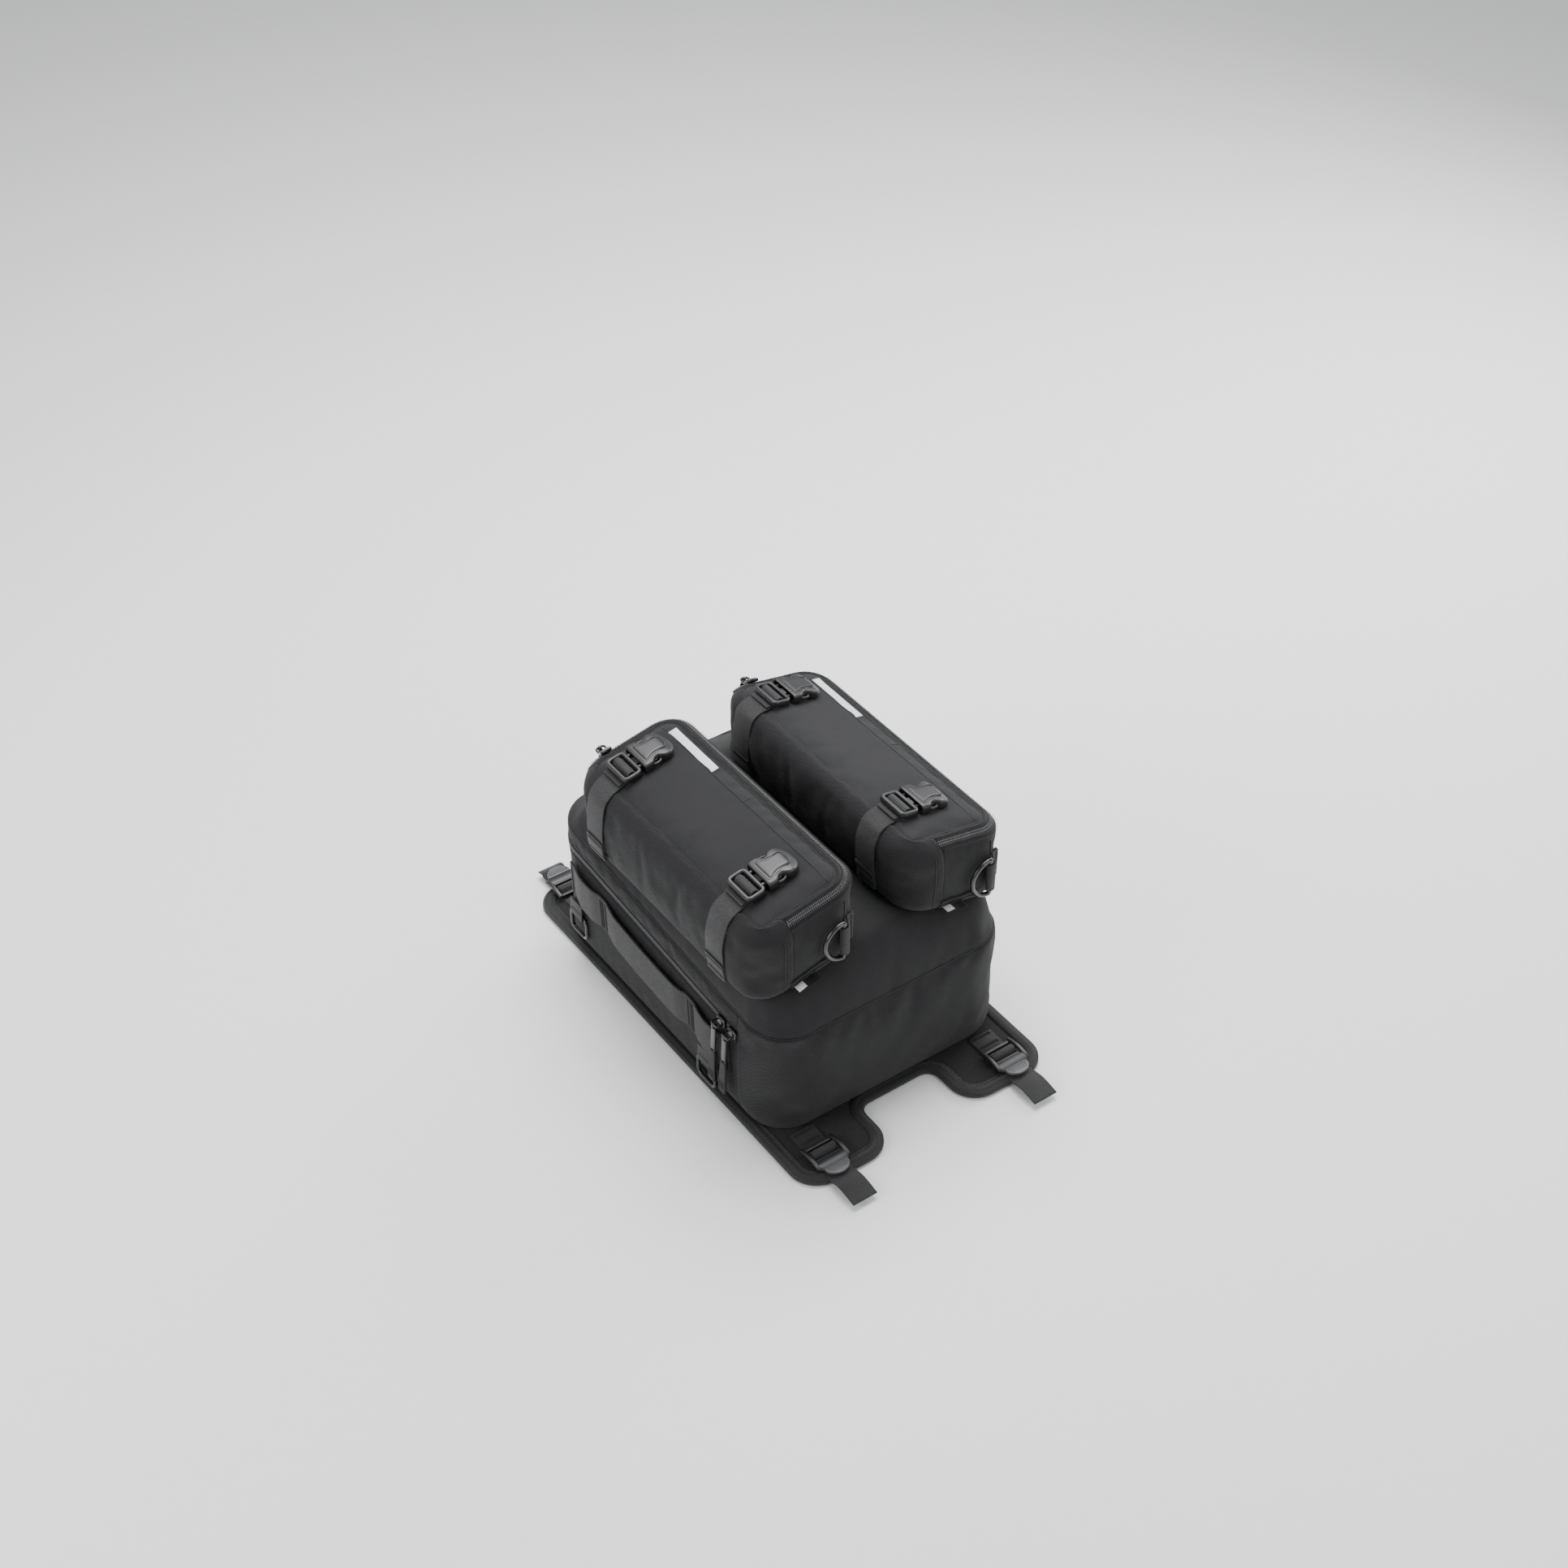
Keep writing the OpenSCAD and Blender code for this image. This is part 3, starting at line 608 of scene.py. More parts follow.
# %% Capsules, for stitches and zip teeth
def capsules(name, centres, ways, outs, long, thick, material):
    """Small fat capsules: at each centre, lying along a way, with a flat side turned out."""
    points, faces, sides = [], [], 6
    for centre, way, out in zip(centres, unit(ways), outs):
        side = unit(np.cross(way, out))
        up_way, base = np.cross(side, way), len(points)
        for reach, radius in ((-0.5, 0.35), (-0.33, 1), (0.33, 1), (0.5, 0.35)):
            for k in range(sides):
                turn = 2 * math.pi * (k + 0.5) / sides
                points.append(centre + way * reach * long
                              + thick * radius * (side * math.cos(turn) + up_way * math.sin(turn)))
        for ring in range(3):
            for k in range(sides):
                here, following = base + ring * sides, (k + 1) % sides
                faces.append([here + k, here + following, here + sides + following, here + sides + k])
        faces += [[base + k for k in reversed(range(sides))], [base + 3 * sides + k for k in range(sides)]]
    flat = [(points[k][0] + points[k][1], points[k][2]) for face in faces for k in face]
    return mesh_from(name, points, faces, material, flat)


def along_line(line, values, pitch, first=0.5):
    """Samples of a line, and of values that go with it, at an even pitch."""
    line = np.asarray(line, float)
    along = running_length(line)
    at = np.arange(first * pitch, along[-1], pitch)
    return [np.stack([np.interp(at, along, np.broadcast_to(v, line.shape)[:, k]) for k in range(3)], 1)
            for v in (line, *values)]


def stitches(name, line, outward, pitch=3.4, long=2.3, thick=0.32):
    """A row of thread stitches, half sunk in the cloth."""
    centres, ways, outs = along_line(line, (headings(line), outward), pitch)
    return capsules(name, centres, ways, outs, long, thick, thread)


# %% [markdown]
# ## The main bag
# The lower bag is a soft box on the base. Its zip runs round the left, front and right just under the
# lid's side band and stops short of the rear corners, so the lid folds back on the rear panel. The
# lid climbs from its seam to a low roof with one slope under each pod, which is what tips the pods.
# The rear panel wraps both rear corners and reaches right up to the seam. Its top few millimetres
# are the cloth that bends when the lid opens.

# %% Loft the main cover
pod_roof = {"side": 10, "rear": 25, "front": 57}
body_wall = np.linspace(0, 1, 12)[:-1]
band_levels = [(-28, 0), (-18, 0), (-15, 0), (-12, 0), (-8, 0), (-4, 0), (-1.4, 0.1), (-0.2, 1.9)]
lid_insets = [2.6, 4.5, 8, 12, 16, 20, 25, 31, 38, 46, 57, 72, 92, 112, 126]


def roof_z(x):
    return ridge_z - lean * np.sqrt(x ** 2 + 12 ** 2)


def main_ring(inset, height):
    """One ring of the main cover. height is a function of x, y and the outward direction."""
    plan, ways = plan_ring(bag_w, bag_l, inset, [max(corner_r - inset, 0.6)] * 4, COUNTS["main"])
    return np.column_stack([plan, height(plan[:, 0], plan[:, 1], ways)]), ways


main_rows, wall_ways = [], main_ring(0, lambda x, y, w: y)[1]
for inset, level in ((126, 0.4), (70, 0.4), (30, 0.4), (9, 0.5), (3.5, 2.2), (1.2, 6)):
    main_rows.append(main_ring(inset, lambda x, y, w: pad_t + level + 0 * y)[0])
bottom_count = len(main_rows)
for share in body_wall[1:]:
    low = pad_t + 6
    main_rows.append(main_ring(0.4 * (1 - share),
                               lambda x, y, w: low + share * (seam_z(y) - skirt_h - zip_w - low))[0])
zip_low_row = len(main_rows)
for level, inset in band_levels:
    main_rows.append(main_ring(inset, lambda x, y, w: seam_z(y) + level)[0])
zip_high_row, seam_row, foot_row = zip_low_row + 1, len(main_rows) - 1, 4


def lid_height(inset):
    def height(x, y, ways):
        end_run = np.where(ways[:, 1] < 0, pod_roof["rear"], pod_roof["front"])
        run = ways[:, 0] ** 2 * pod_roof["side"] + ways[:, 1] ** 2 * end_run
        share = np.clip((inset - 1.9) / run, 0, 1)
        return seam_z(y) + 0.4 + (roof_z(x) - seam_z(y) - 0.4) * np.sin(share * math.pi / 2)
    return height


for inset in lid_insets:
    main_rows.append(main_ring(inset, lid_height(inset))[0])
main_rows = np.array(main_rows)
main_columns = main_rows[zip_low_row, :, 1] > rear_y + zip_end
print("main cover", main_rows.shape, "columns with a zip", int(main_columns.sum()))

# %% Swell the main cover and pucker it below the seam
held = np.zeros(main_rows.shape[:2], bool)
held[:bottom_count] = True
held[zip_low_row:zip_high_row + 1] = main_columns
held[seam_row] = True
under_pods = np.abs(main_rows[..., 1] - pod_y) < pod_l / 2 - 4
held[seam_row + 4:] |= under_pods[seam_row + 4:]
side_cap, end_cap, lid_cap = 3.0, 6.0, 2.2
main_cap = np.tile(np.where(np.abs(wall_ways[:, 0]) > 0.8, side_cap, end_cap), (len(main_rows), 1))
main_cap[seam_row:] = lid_cap
bottom_cap = [c[::-1] for c in spine_caps(0, COUNTS["main"])]
top_cap = spine_caps(len(main_rows) - 1, COUNTS["main"])
main_rows = swell(main_rows, bottom_cap + top_cap, held, main_cap, PRESSURE, STRETCH)
pucker_size, drape_size, slant_size = 13, 55, 27
around_main = running_length(main_rows[zip_low_row], True)[:-1]
for row in range(bottom_count, seam_row):
    for column in range(main_rows.shape[1]):
        drop = seam_z(main_rows[row, column, 1]) - main_rows[row, column, 2]
        at_zip = main_columns[column]
        edge = min(drop - (skirt_h + zip_w if at_zip and row > zip_high_row else 0), 40)
        if at_zip and row >= zip_low_row:
            continue
        rise = row - bottom_count
        fade = min(1, max(0, edge) / 6) * min(1, rise / 3)
        pucker = ripples((around_main[column], drop * 0.28, 0), pucker_size, 3)
        pucker *= math.exp(-max(edge, 0) / 26)
        drape = ripples((around_main[column], drop, 0), drape_size, 8)
        slanting = (around_main[column] - 0.9 * drop, 0.25 * drop, 2)
        drape += 0.9 * ripples(slanting, slant_size, 5) * math.exp(-drop / 70)
        push = fade * ((1.2 if at_zip else 3.8) * pucker + (0.9 if at_zip else 2.2) * drape)
        main_rows[row, column, :2] += wall_ways[column] * push
all_points = main_rows.reshape(-1, 3)
print("swollen main bag", all_points.min(0).round(1), all_points.max(0).round(1))


# %% Cut the main cover into its panels
def wall_map(rows):
    """Flat map for upright walls: how far round, and how far up."""
    around = np.array([running_length(row, True) for row in rows[::4]]).mean(0)
    rise = np.concatenate([[0], np.cumsum(np.linalg.norm(np.diff(rows, axis=0), axis=2).mean(1))])
    return np.stack(np.meshgrid(rise, around, indexing="ij")[::-1], -1)


def face_mask(rows, columns):
    """Marks faces: from which row to which, and in which columns."""
    def mask(first, last, where=None):
        keep = np.zeros((len(rows) - 1, rows.shape[1]), bool)
        keep[first:last] = True if where is None else where
        return keep
    faces_zip = columns & np.roll(columns, -1)
    return mask, faces_zip


main_mask, main_zip_faces = face_mask(main_rows, main_columns)
main_flat, main_top_flat = wall_map(main_rows), top_map(main_rows)
body_panel = grid_piece("main_bag_body", main_rows, cloth, main_flat, caps=bottom_cap,
                        keep=main_mask(0, foot_row) | main_mask(foot_row, zip_low_row, main_zip_faces))
dress(finished(body_panel, levels=1, thick=2.6), "bag_body", "pack_fabric", "main_body_shell")
hinge_panel = grid_piece("main_rear_panel", main_rows, cloth, main_flat,
                         keep=main_mask(foot_row, seam_row, ~main_zip_faces))
finished(hinge_panel, levels=1, thick=2.6)
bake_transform(hinge_panel)
skirt_panel = grid_piece("main_lid_band", main_rows, cloth, main_flat,
                         keep=main_mask(zip_high_row, seam_row, main_zip_faces))
dress(finished(skirt_panel, levels=1, thick=2.4), "main_lid", "pack_fabric")
lid_panel = grid_piece("main_lid_panel", main_rows, smooth_lit_cloth, main_top_flat, caps=top_cap,
                       keep=main_mask(seam_row, len(main_rows) - 1))
dress(finished(lid_panel, levels=1, thick=2.4), "main_lid", "pack_fabric", "lid_shell")
board_mesh = frame["nodes"]["floor_board"].data
board_mesh.materials.clear()
board_mesh.materials.append(board)

# %% [markdown]
# ## Seams and zips
# A seam shows as a thin dark valley with its thread deep inside, so the seam is a fine cord laid in
# the groove between two swollen panels; the cord is coloured near black as painted shade of that
# valley. A coil zip is two tapes whose teeth interlock in the middle: each tooth is a small capsule
# across the tape, and the two rows are half a pitch apart. Each half rides with its own panel, so the
# zip parts where the real one would.

# %% The lid's seam and the main zip
seam_out = np.column_stack([wall_ways, np.full(len(wall_ways), 0.6)])
seam_cord = sweep("main_lid_seam", main_rows[seam_row] + [0, 0, -0.1], seam_out, oval(0.75, 0.75, 8),
                  seam_shade_cord_finish, closed=True)
dress(seam_cord, "main_lid", "binding")


def coil_zip(name, low_edge, high_edge, bodies, nodes, inward=0.5, pitch=1.9, hem=1.4):
    """Both halves of a zip between two edges. bodies and nodes are for the low and the high half."""
    low_edge, high_edge = np.asarray(low_edge, float), np.asarray(high_edge, float)
    mid, across = (low_edge + high_edge) / 2, unit(high_edge - low_edge)
    half = np.linalg.norm(high_edge - low_edge, axis=1).mean() / 2
    outward = unit(np.cross(across, headings(mid)))
    tape_t, tooth_long, tooth_thick, tooth_out, stitch_in = 0.8, 3.7, 0.72, 1.15, 1.9
    halves = (-1, low_edge, bodies[0], nodes[0], "low"), (1, high_edge, bodies[1], nodes[1], "high")
    for way, edge, body, node, part in halves:
        middle_line = mid + across * way * (half / 2 + 0.75) - outward * inward
        tape = sweep(f"{name}_{part}_tape", middle_line, outward, band(half + hem - 0.2, tape_t), tape_cloth,
                     across=-across)
        centres, outs, sides = along_line(mid, (outward, across), pitch, 0.5 if way < 0 else 1.0)
        centres = centres + sides * way * tooth_out + outs * (0.75 - inward)
        teeth = capsules(f"{name}_{part}_teeth", centres, sides, outs, tooth_long, tooth_thick, teeth_finish)
        seam_line = edge + across * way * stitch_in + outward * 0.22
        seam = stitches(f"{name}_{part}_stitches", seam_line, outward, 3.0, 2.1, 0.26)
        piece = joined(f"{name}_{part}", [tape, teeth, seam])
        dress(piece, body, "zip_tape", *([node] if node else []))
    return mid, outward, across


zip_columns = np.flatnonzero(main_columns)
coil_zip("main_zip", main_rows[zip_low_row, zip_columns], main_rows[zip_high_row, zip_columns],
         ("bag_body", "main_lid"), ("main_zip_tape_lower", "lid_zip_tape_upper"))

# %% [markdown]
# ## The pods
# Each pod is the same kind of closed cover: a flat tray, upright walls, a rounded shoulder that
# carries the zip, and a flat top inside a thin sunken seam. Both pods stand on the lid's two slopes,
# so they are made level and then tipped. The zip starts on the rear wall, a little in from the left
# corner, runs round the right side and ends at the left of the front wall. So the pod's lid hinges on
# its left edge, where the cloth runs on from wall to lid.

# %% Loft one pod cover
POD_FLOOR = [(53, 0.4), (30, 0.4), (12, 0.5), (8, 0.6), (2.5, 2.6)]
POD_WALL = [(0.2, 7), (0, 14), (0, 21), (0, 28), (0, 35), (0, 42), (0, 49), (0, 56), (0.3, 62.5), (1.7, 68.2)]
POD_BAND = [(9.0, 74.0), (10.6, 74.8), (12.1, 75.1), (13.2, 74.7), (14.0, 73.9)]
POD_TOP = [(15.0, 75.2), (18, 76.2), (22, 76.6), (28, 76.8), (35, 77), (44, 77), (53, 77)]
POD_ROWS = POD_FLOOR + POD_WALL + POD_BAND + POD_TOP
PINCHED = {15: 17, 16: 13, 17: 9, 18: 6, 19: 4, 20: 4, 21: 4, 22: 5}
pod_high_row = len(POD_FLOOR + POD_WALL)
pod_low_row, pod_seam_row = pod_high_row - 1, pod_high_row + len(POD_BAND) - 1


def pod_cover(inset, level, corner_radii):
    """One level ring of a pod cover."""
    plan, ways = plan_ring(pod_w, pod_l, inset, corner_radii, COUNTS["pod"])
    return np.column_stack([plan, np.full(len(plan), float(level))]), ways


pod_shape = []
for row, (inset, level) in enumerate(POD_ROWS):
    pinch = PINCHED.get(row, pod_r - inset)
    base_radius = max(pod_r - inset, 1.5)
    points, pod_ways = pod_cover(inset, level, [max(pinch, 1.5), base_radius, base_radius, base_radius])
    pod_shape.append(points)
pod_shape = np.array(pod_shape)
zip_plan = pod_shape[pod_low_row]
pod_columns = np.where(zip_plan[:, 1] < 0, zip_plan[:, 0] > -pod_w / 2 + pod_zip_end,
                       zip_plan[:, 0] > -pod_w / 2 + pod_front_end)
pod_held = np.zeros(pod_shape.shape[:2], bool)
pod_held[:len(POD_FLOOR)] = True
pod_held[[pod_low_row, pod_high_row, pod_seam_row]] = True
wall_cap, shoulder_cap, crown_cap = 5.5, 1.2, 1.5
pod_cap = np.full(pod_shape.shape[:2], wall_cap)
pod_cap[pod_low_row:pod_seam_row] = shoulder_cap
pod_cap[pod_seam_row:] = crown_cap
pod_bottom_cap = [c[::-1] for c in spine_caps(0, COUNTS["pod"])]
pod_top_cap = spine_caps(len(pod_shape) - 1, COUNTS["pod"])
pod_shape = swell(pod_shape, pod_bottom_cap + pod_top_cap, pod_held, pod_cap, PRESSURE, STRETCH)
print("pod cover", pod_shape.shape, "columns with a zip", int(pod_columns.sum()))


# %% Crumple and tip the pods
def tipped(points, s):
    """Stands pod points (mm) on the lid's slope: the walls stay upright and the top follows the slope."""
    points = np.asarray(points, float)
    out = points.copy()
    out[..., 0] += s * pod_x
    out[..., 1] += pod_y
    out[..., 2] = pod_z - s * points[..., 0] * lean + points[..., 2]
    return out


def crumpled(rows, seed):
    """Adds the small folds of packed cloth. They are deepest at the rear left corner."""
    rows = rows.copy()
    around = running_length(rows[pod_low_row], True)[:-1]
    for row in range(4, len(rows) - 1):
        if row in (pod_low_row, pod_high_row):
            continue
        for column in range(rows.shape[1]):
            x, y, z = rows[row, column]
            run = around[column]
            if row < pod_low_row:
                fade = min(1, z / 12, (69 - z) / 12 + 0.1)
                corner = math.exp(-((x + 42) ** 2 + (y + 128) ** 2) / 1100)
                folds = 2.2 * ripples((run, z, 0), 36, seed)
                folds += 1.5 * ripples((run, z * 1.3, 1), 17, seed + 2)
                folds += (3.2 * corner) * ripples((run * 0.6 + z, z * 1.8, 4), 14, seed + 5)
                rows[row, column, :2] += pod_ways[column] * (fade * folds)
            elif row > pod_seam_row:
                fade = min(1, (row - pod_seam_row) / 3)
                folds = 0.7 * ripples((x, y, 0), 42, seed) + 0.3 * ripples((x, y, 2), 14, seed)
                rows[row, column, 2] += fade * folds
            elif not pod_columns[column]:
                rows[row, column, 2] += 0.7 * ripples((x, y, z), 16, seed + 7)
    return rows


pods = {side: tipped(crumpled(pod_shape, 20 + 9 * s), s) for side, s in SIDES.items()}
pod_flat, pod_top_flat = wall_map(pod_shape), top_map(pod_shape)
pod_mask, pod_zip_faces = face_mask(pod_shape, pod_columns)


def top_out(s):
    """The way out of a pod's tipped top."""
    return np.array([math.sin(s * slope), 0, math.cos(slope)])


def leaf_span(s):
    """Where the hinge cloth of a pod starts and ends, on the line across it."""
    start = np.array([s * pod_x - pod_w / 2, pod_y, pod_z + s * pod_w / 2 * lean + 63.5])
    return start, start + top_out(s) * 11.5 * math.cos(slope)


# %% Cut the pods into panels
for side, s in SIDES.items():
    rows = pods[side]
    tray = grid_piece(f"{side}_pod_walls", rows, cloth, pod_flat,
                      keep=pod_mask(0, foot_row) | pod_mask(foot_row, pod_low_row, pod_zip_faces),
                      caps=pod_bottom_cap)
    dress(finished(tray, levels=1, thick=1.8), "main_lid", "pack_fabric", f"{side}_pod_shell")
    hinge = grid_piece(f"{side}_pod_left_wall", rows, cloth, pod_flat,
                       keep=pod_mask(foot_row, pod_seam_row, ~pod_zip_faces))
    finished(hinge, levels=1, thick=1.8)
    start, end = leaf_span(s)
    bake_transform(hinge)
    rim = grid_piece(f"{side}_pod_lid_band", rows, cloth, pod_flat,
                     keep=pod_mask(pod_high_row, pod_seam_row, pod_zip_faces))
    dress(finished(rim, levels=1, thick=1.6), f"{side}_pod_lid", "pack_fabric")
    top = grid_piece(f"{side}_pod_top", rows, smooth_lit_cloth, pod_top_flat, caps=pod_top_cap,
                     keep=pod_mask(pod_seam_row, len(rows) - 1))
    dress(finished(top, levels=1, thick=1.8), f"{side}_pod_lid", "pack_fabric", f"{side}_pod_lid")
    cord = sweep(f"{side}_pod_seam", rows[pod_seam_row] + [0, 0, 0.2], top_out(s), oval(0.7, 0.7, 8),
                 seam_shade_cord_finish, closed=True)
    dress(cord, f"{side}_pod_lid", "binding")
    columns = np.flatnonzero(pod_columns)
    jump = np.flatnonzero(np.diff(columns) > 1)
    order = np.concatenate([columns[jump[0] + 1:], columns[:jump[0] + 1]]) if len(jump) else columns
    coil_zip(f"{side}_pod_zip", rows[pod_low_row, order], rows[pod_high_row, order],
             ("main_lid", f"{side}_pod_lid"), (f"{side}_pod_zip_tape", f"{side}_pod_lid_zip_tape"))
print("pods", list(pods), "zip starts at", zip_plan[order[0]].round(0))

# %% [markdown]
# ## Straps and buckles on the pods
# A strap starts at a folded, stitched end at the foot of the pod's left wall, climbs the wall and goes
# over the shoulder to a buckle. Its line is read off the swollen cover, so that it lies on the cloth.
# It crosses the hinge.

# %% Lines on the covers
def skin(rows):
    """A tree for asking where a cover's surface is."""
    count, wide = rows.shape[:2]
    faces = [[i * wide + j, (i + 1) * wide + j, (i + 1) * wide + (j + 1) % wide, i * wide + (j + 1) % wide]
             for i in range(count - 1) for j in range(wide)]
    return BVHTree.FromPolygons([Vector(p) for p in rows.reshape(-1, 3)], faces)


def touch(tree, place, way):
    """Where a straight line from a place first meets a cover."""
    found = tree.ray_cast(Vector(place), Vector(way))[0]
    return np.array(place if found is None else found, float)


def smoothed(line, times=3):
    """The same line with its kinks evened out, both ends kept."""
    line = np.array(line, float)
    for _ in range(times):
        line[1:-1] = (line[:-2] + 2 * line[1:-1] + line[2:]) / 4
    return line


def pod_profile(rows, y):
    """A pod cover's line from the left foot up over the shoulder to the crown, at one y."""
    left = slice(COUNTS["pod"][2], COUNTS["pod"][2] + COUNTS["pod"][0])
    return np.array([[np.interp(y, row[left, 1], row[left, k]) for k in (0, 1, 2)] for row in rows])


def bartack(name, centre, way, out, length=22, wide=3.0):
    """A dense row of short stitches across a strap."""
    centre, way, out = (np.asarray(v, float) for v in (centre, way, out))
    centres = [centre + unit(way) * t for t in np.arange(-length / 2, length / 2, 1.0)]
    ways, outs = [np.cross(way, out)] * len(centres), [out] * len(centres)
    return capsules(name, centres, ways, outs, wide, 0.34, thread)


pod_skins = {side: skin(pods[side]) for side in SIDES}
main_skin = skin(main_rows)

# %% Straps over the pods
STRAP_REACH, FOLD_COUNT = 41.5, 11
LAYERS = (1.15, 2.7, 3.5)
for side, s in SIDES.items():
    pieces = []
    for end, strap_y in zip(("front", "rear"), strap_ys):
        line = smoothed(even(pod_profile(pods[side], pod_y + strap_y)[len(POD_FLOOR):25], 2.0), 4)
        line = line[line[:, 0] <= s * pod_x - pod_w / 2 + STRAP_REACH]
        outs = unit(np.cross(headings(line), [0, 1, 0]))
        for part, lift, count in (("strap", LAYERS[0], len(line)), ("fold", LAYERS[1], FOLD_COUNT)):
            pieces.append(sweep(f"{side}_{end}_{part}", (line + outs * lift)[:count], outs[:count],
                                band(web_w, web_t), webbing, across=(0, 1, 0)))
        for k in (2, 8):
            pieces.append(bartack(f"{side}_{end}_tack_{k}", (line + outs * LAYERS[2])[k], (0, 1, 0), outs[k]))
    strap = joined(f"{side}_pod_straps", pieces)
    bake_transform(strap)
    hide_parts(f"{side}_pod_side_straps", f"{side}_pod_lid_straps")

# %% [markdown]
# A moulding is lofted: a rounded section is drawn at each station along it, and its width and height
# change from one station to the next. The socket narrows at two finger notches and ends in a dome
# that bends down. The clip is a ladder frame with the strap over its middle bar, and its prongs carry
# an oval loop that shows in each notch.

# %% Loft helper and socket
def loft(name, stations, way_a, way_b, material, radius=2.0):
    """stations: (centre, low a, high a, low b, high b). way_a and way_b span every section."""
    way_a, way_b = np.array(way_a, float), np.array(way_b, float)
    rows = []
    for centre, low_a, high_a, low_b, high_b in stations:
        corner = min(radius, (high_a - low_a) * 0.46, (high_b - low_b) * 0.46)
        shape = soft_box(low_a, high_a, low_b, high_b, corner)
        rows.append(np.array(centre, float) + shape[:, :1] * way_a + shape[:, 1:] * way_b)
    rows = np.array(rows)
    along = running_length(rows.mean(1))
    around = running_length(rows[len(rows) // 2], True)
    flat = np.stack(np.meshgrid(around, along, indexing="ij"), -1).transpose(1, 0, 2)
    caps = [[(0, j) for j in range(rows.shape[1])], [(len(rows) - 1, j) for j in range(rows.shape[1])]]
    return grid_piece(name, rows, material, flat, caps=caps, tidy=True)


def top_place(s, x, y, z=0.0):
    """The frame on top of a pod: x runs down the slope from the hinge edge, and y along the pod."""
    corner = Vector((s * pod_x - pod_w / 2, pod_y, pod_z + pod_h + s * pod_w / 2 * lean)) * 0.001
    return (Matrix.Translation(corner) @ Matrix.Rotation(s * slope, 4, "Y")
            @ Matrix.Translation(Vector((x, y, z)) * 0.001))


SOCKET = [(7, 13.4, 2.6, 7.6), (0.5, 13.8, 2.2, 8), (0, 16.2, 0.6, 9.4), (1, 17, 0, 10), (4, 17, 0, 10.2),
          (8, 17, 0, 10.2), (9.5, 16.4, 0, 10.2), (11, 14.4, 0, 10.1), (13, 12.8, 0, 10), (15, 12.2, 0, 10),
          (17, 12.8, 0, 10), (19, 14.6, 0, 10), (21, 15.9, 0, 9.9), (24, 16.5, 0, 9.5), (27, 16.2, 0, 8.8),
          (30, 14.6, 0, 7.4), (32.5, 11.8, 0, 5.8), (34.5, 8, 0, 4.4), (35.7, 4, 0.4, 3.2)]


SOCKET_RIM = [(3, -13), (20, -8), (29, -9), (29, 9), (20, 8), (3, 13)]
SOCKET_PAD = [(4.5, 11, 10.2), (5.5, 11.6, 10.8), (9, 9.4, 10.9), (15, 7, 10.9), (21, 7.4, 10.7),
              (26, 7.6, 10.1), (28, 6.6, 9.2)]


def make_socket(name):
    """The female half: a body that bends down, with a raised rim and pad on its back."""
    body = loft(name, [((x, 0, 0), -wide, wide, low, high) for x, wide, low, high in SOCKET],
                (0, 1, 0), (0, 0, 1), satin, 2.4)
    rim_line = outline_with_arcs(SOCKET_RIM, [2, 6, 5, 5, 6, 2], 1.5)
    rim = sweep(f"{name}_rim", [(x, y, 10.0) for x, y in rim_line], (0, 0, 1), oval(0.5, 0.5, 6), satin,
                closed=True)
    pad = loft(f"{name}_pad", [((x, 0, 0), -wide, wide, 9, high) for x, wide, high in SOCKET_PAD],
               (0, 1, 0), (0, 0, 1), satin, 1.0)
    rim.data.transform(Matrix.Translation((0, 0, -0.0002)))
    return joined(name, [finished(body, levels=1), rim, finished(pad, levels=1)])


CLIP_MID = 4.9
GUIDE = [(18, 5), (26, 4.4), (34, 4), (37, 3), (38, 1.6)]
PRONG = [(18, 8.5), (25, 9.2), (30, 11.4), (34, 12.6), (37.5, 11.4), (40, 8.4)]


def make_clip(name):
    """The male half: a ladder frame, its bar, a guide, and two prongs that each carry a loop."""
    outline = outline_with_arcs([(2, -15), (18, -15), (18, 15), (2, 15)], [3.2] * 4, 1.0)
    pieces = [sweep(name, [(x, y, CLIP_MID) for x, y in outline], (0, 0, 1),
                    soft_box(-1.9, 1.9, -2.9, 2.9, 1.4), satin, closed=True),
              sweep(f"{name}_bar", [(10, y, 4.0) for y in np.linspace(-14, 14, 9)], (0, 0, 1),
                    soft_box(-1.9, 1.9, -1.7, 1.7, 1.2), satin),
              loft(f"{name}_guide", [((x, 0, CLIP_MID), -w, w, -1.1, 1.1) for x, w in GUIDE],
                   (0, 1, 0), (0, 0, 1), satin, 0.9)]
    for way in (-1, 1):
        prong = smoothed(even([(x, y * way, CLIP_MID) for x, y in PRONG], 1.5))
        pieces.append(sweep(f"{name}_prong", prong, (0, 0, 1), soft_box(-1.5, 1.5, -2, 2, 0.9), satin))
        loop = [(35 + 5 * math.cos(t), way * 13.6 + 2.6 * math.sin(t), CLIP_MID)
                for t in np.linspace(0, 2 * math.pi, 28, endpoint=False)]
        pieces.append(sweep(f"{name}_loop", loop, (0, 0, 1), oval(1.1, 1.5, 8), satin, closed=True))
    return joined(name, pieces)


THREADED = [(-4, 1.0), (0, 1.1), (3.4, 1.3), (5, 2.1), (6.2, 4), (7.2, 6.2), (8.4, 7.3), (10, 7.6),
            (11.6, 7.3), (12.8, 6.2), (13.8, 4), (15, 2.1), (16.6, 1.3), (19, 1.1)]


def threaded(name, width, lift=0.0, first=-4.0):
    """The webbing that weaves over the middle bar of a ladder frame, along x."""
    line = smoothed(even([(x, 0, z + lift) for x, z in THREADED if x >= first], 0.8), 2)
    return sweep(name, line, (0, 0, 1), band(width, 1.5), webbing, across=(0, 1, 0))


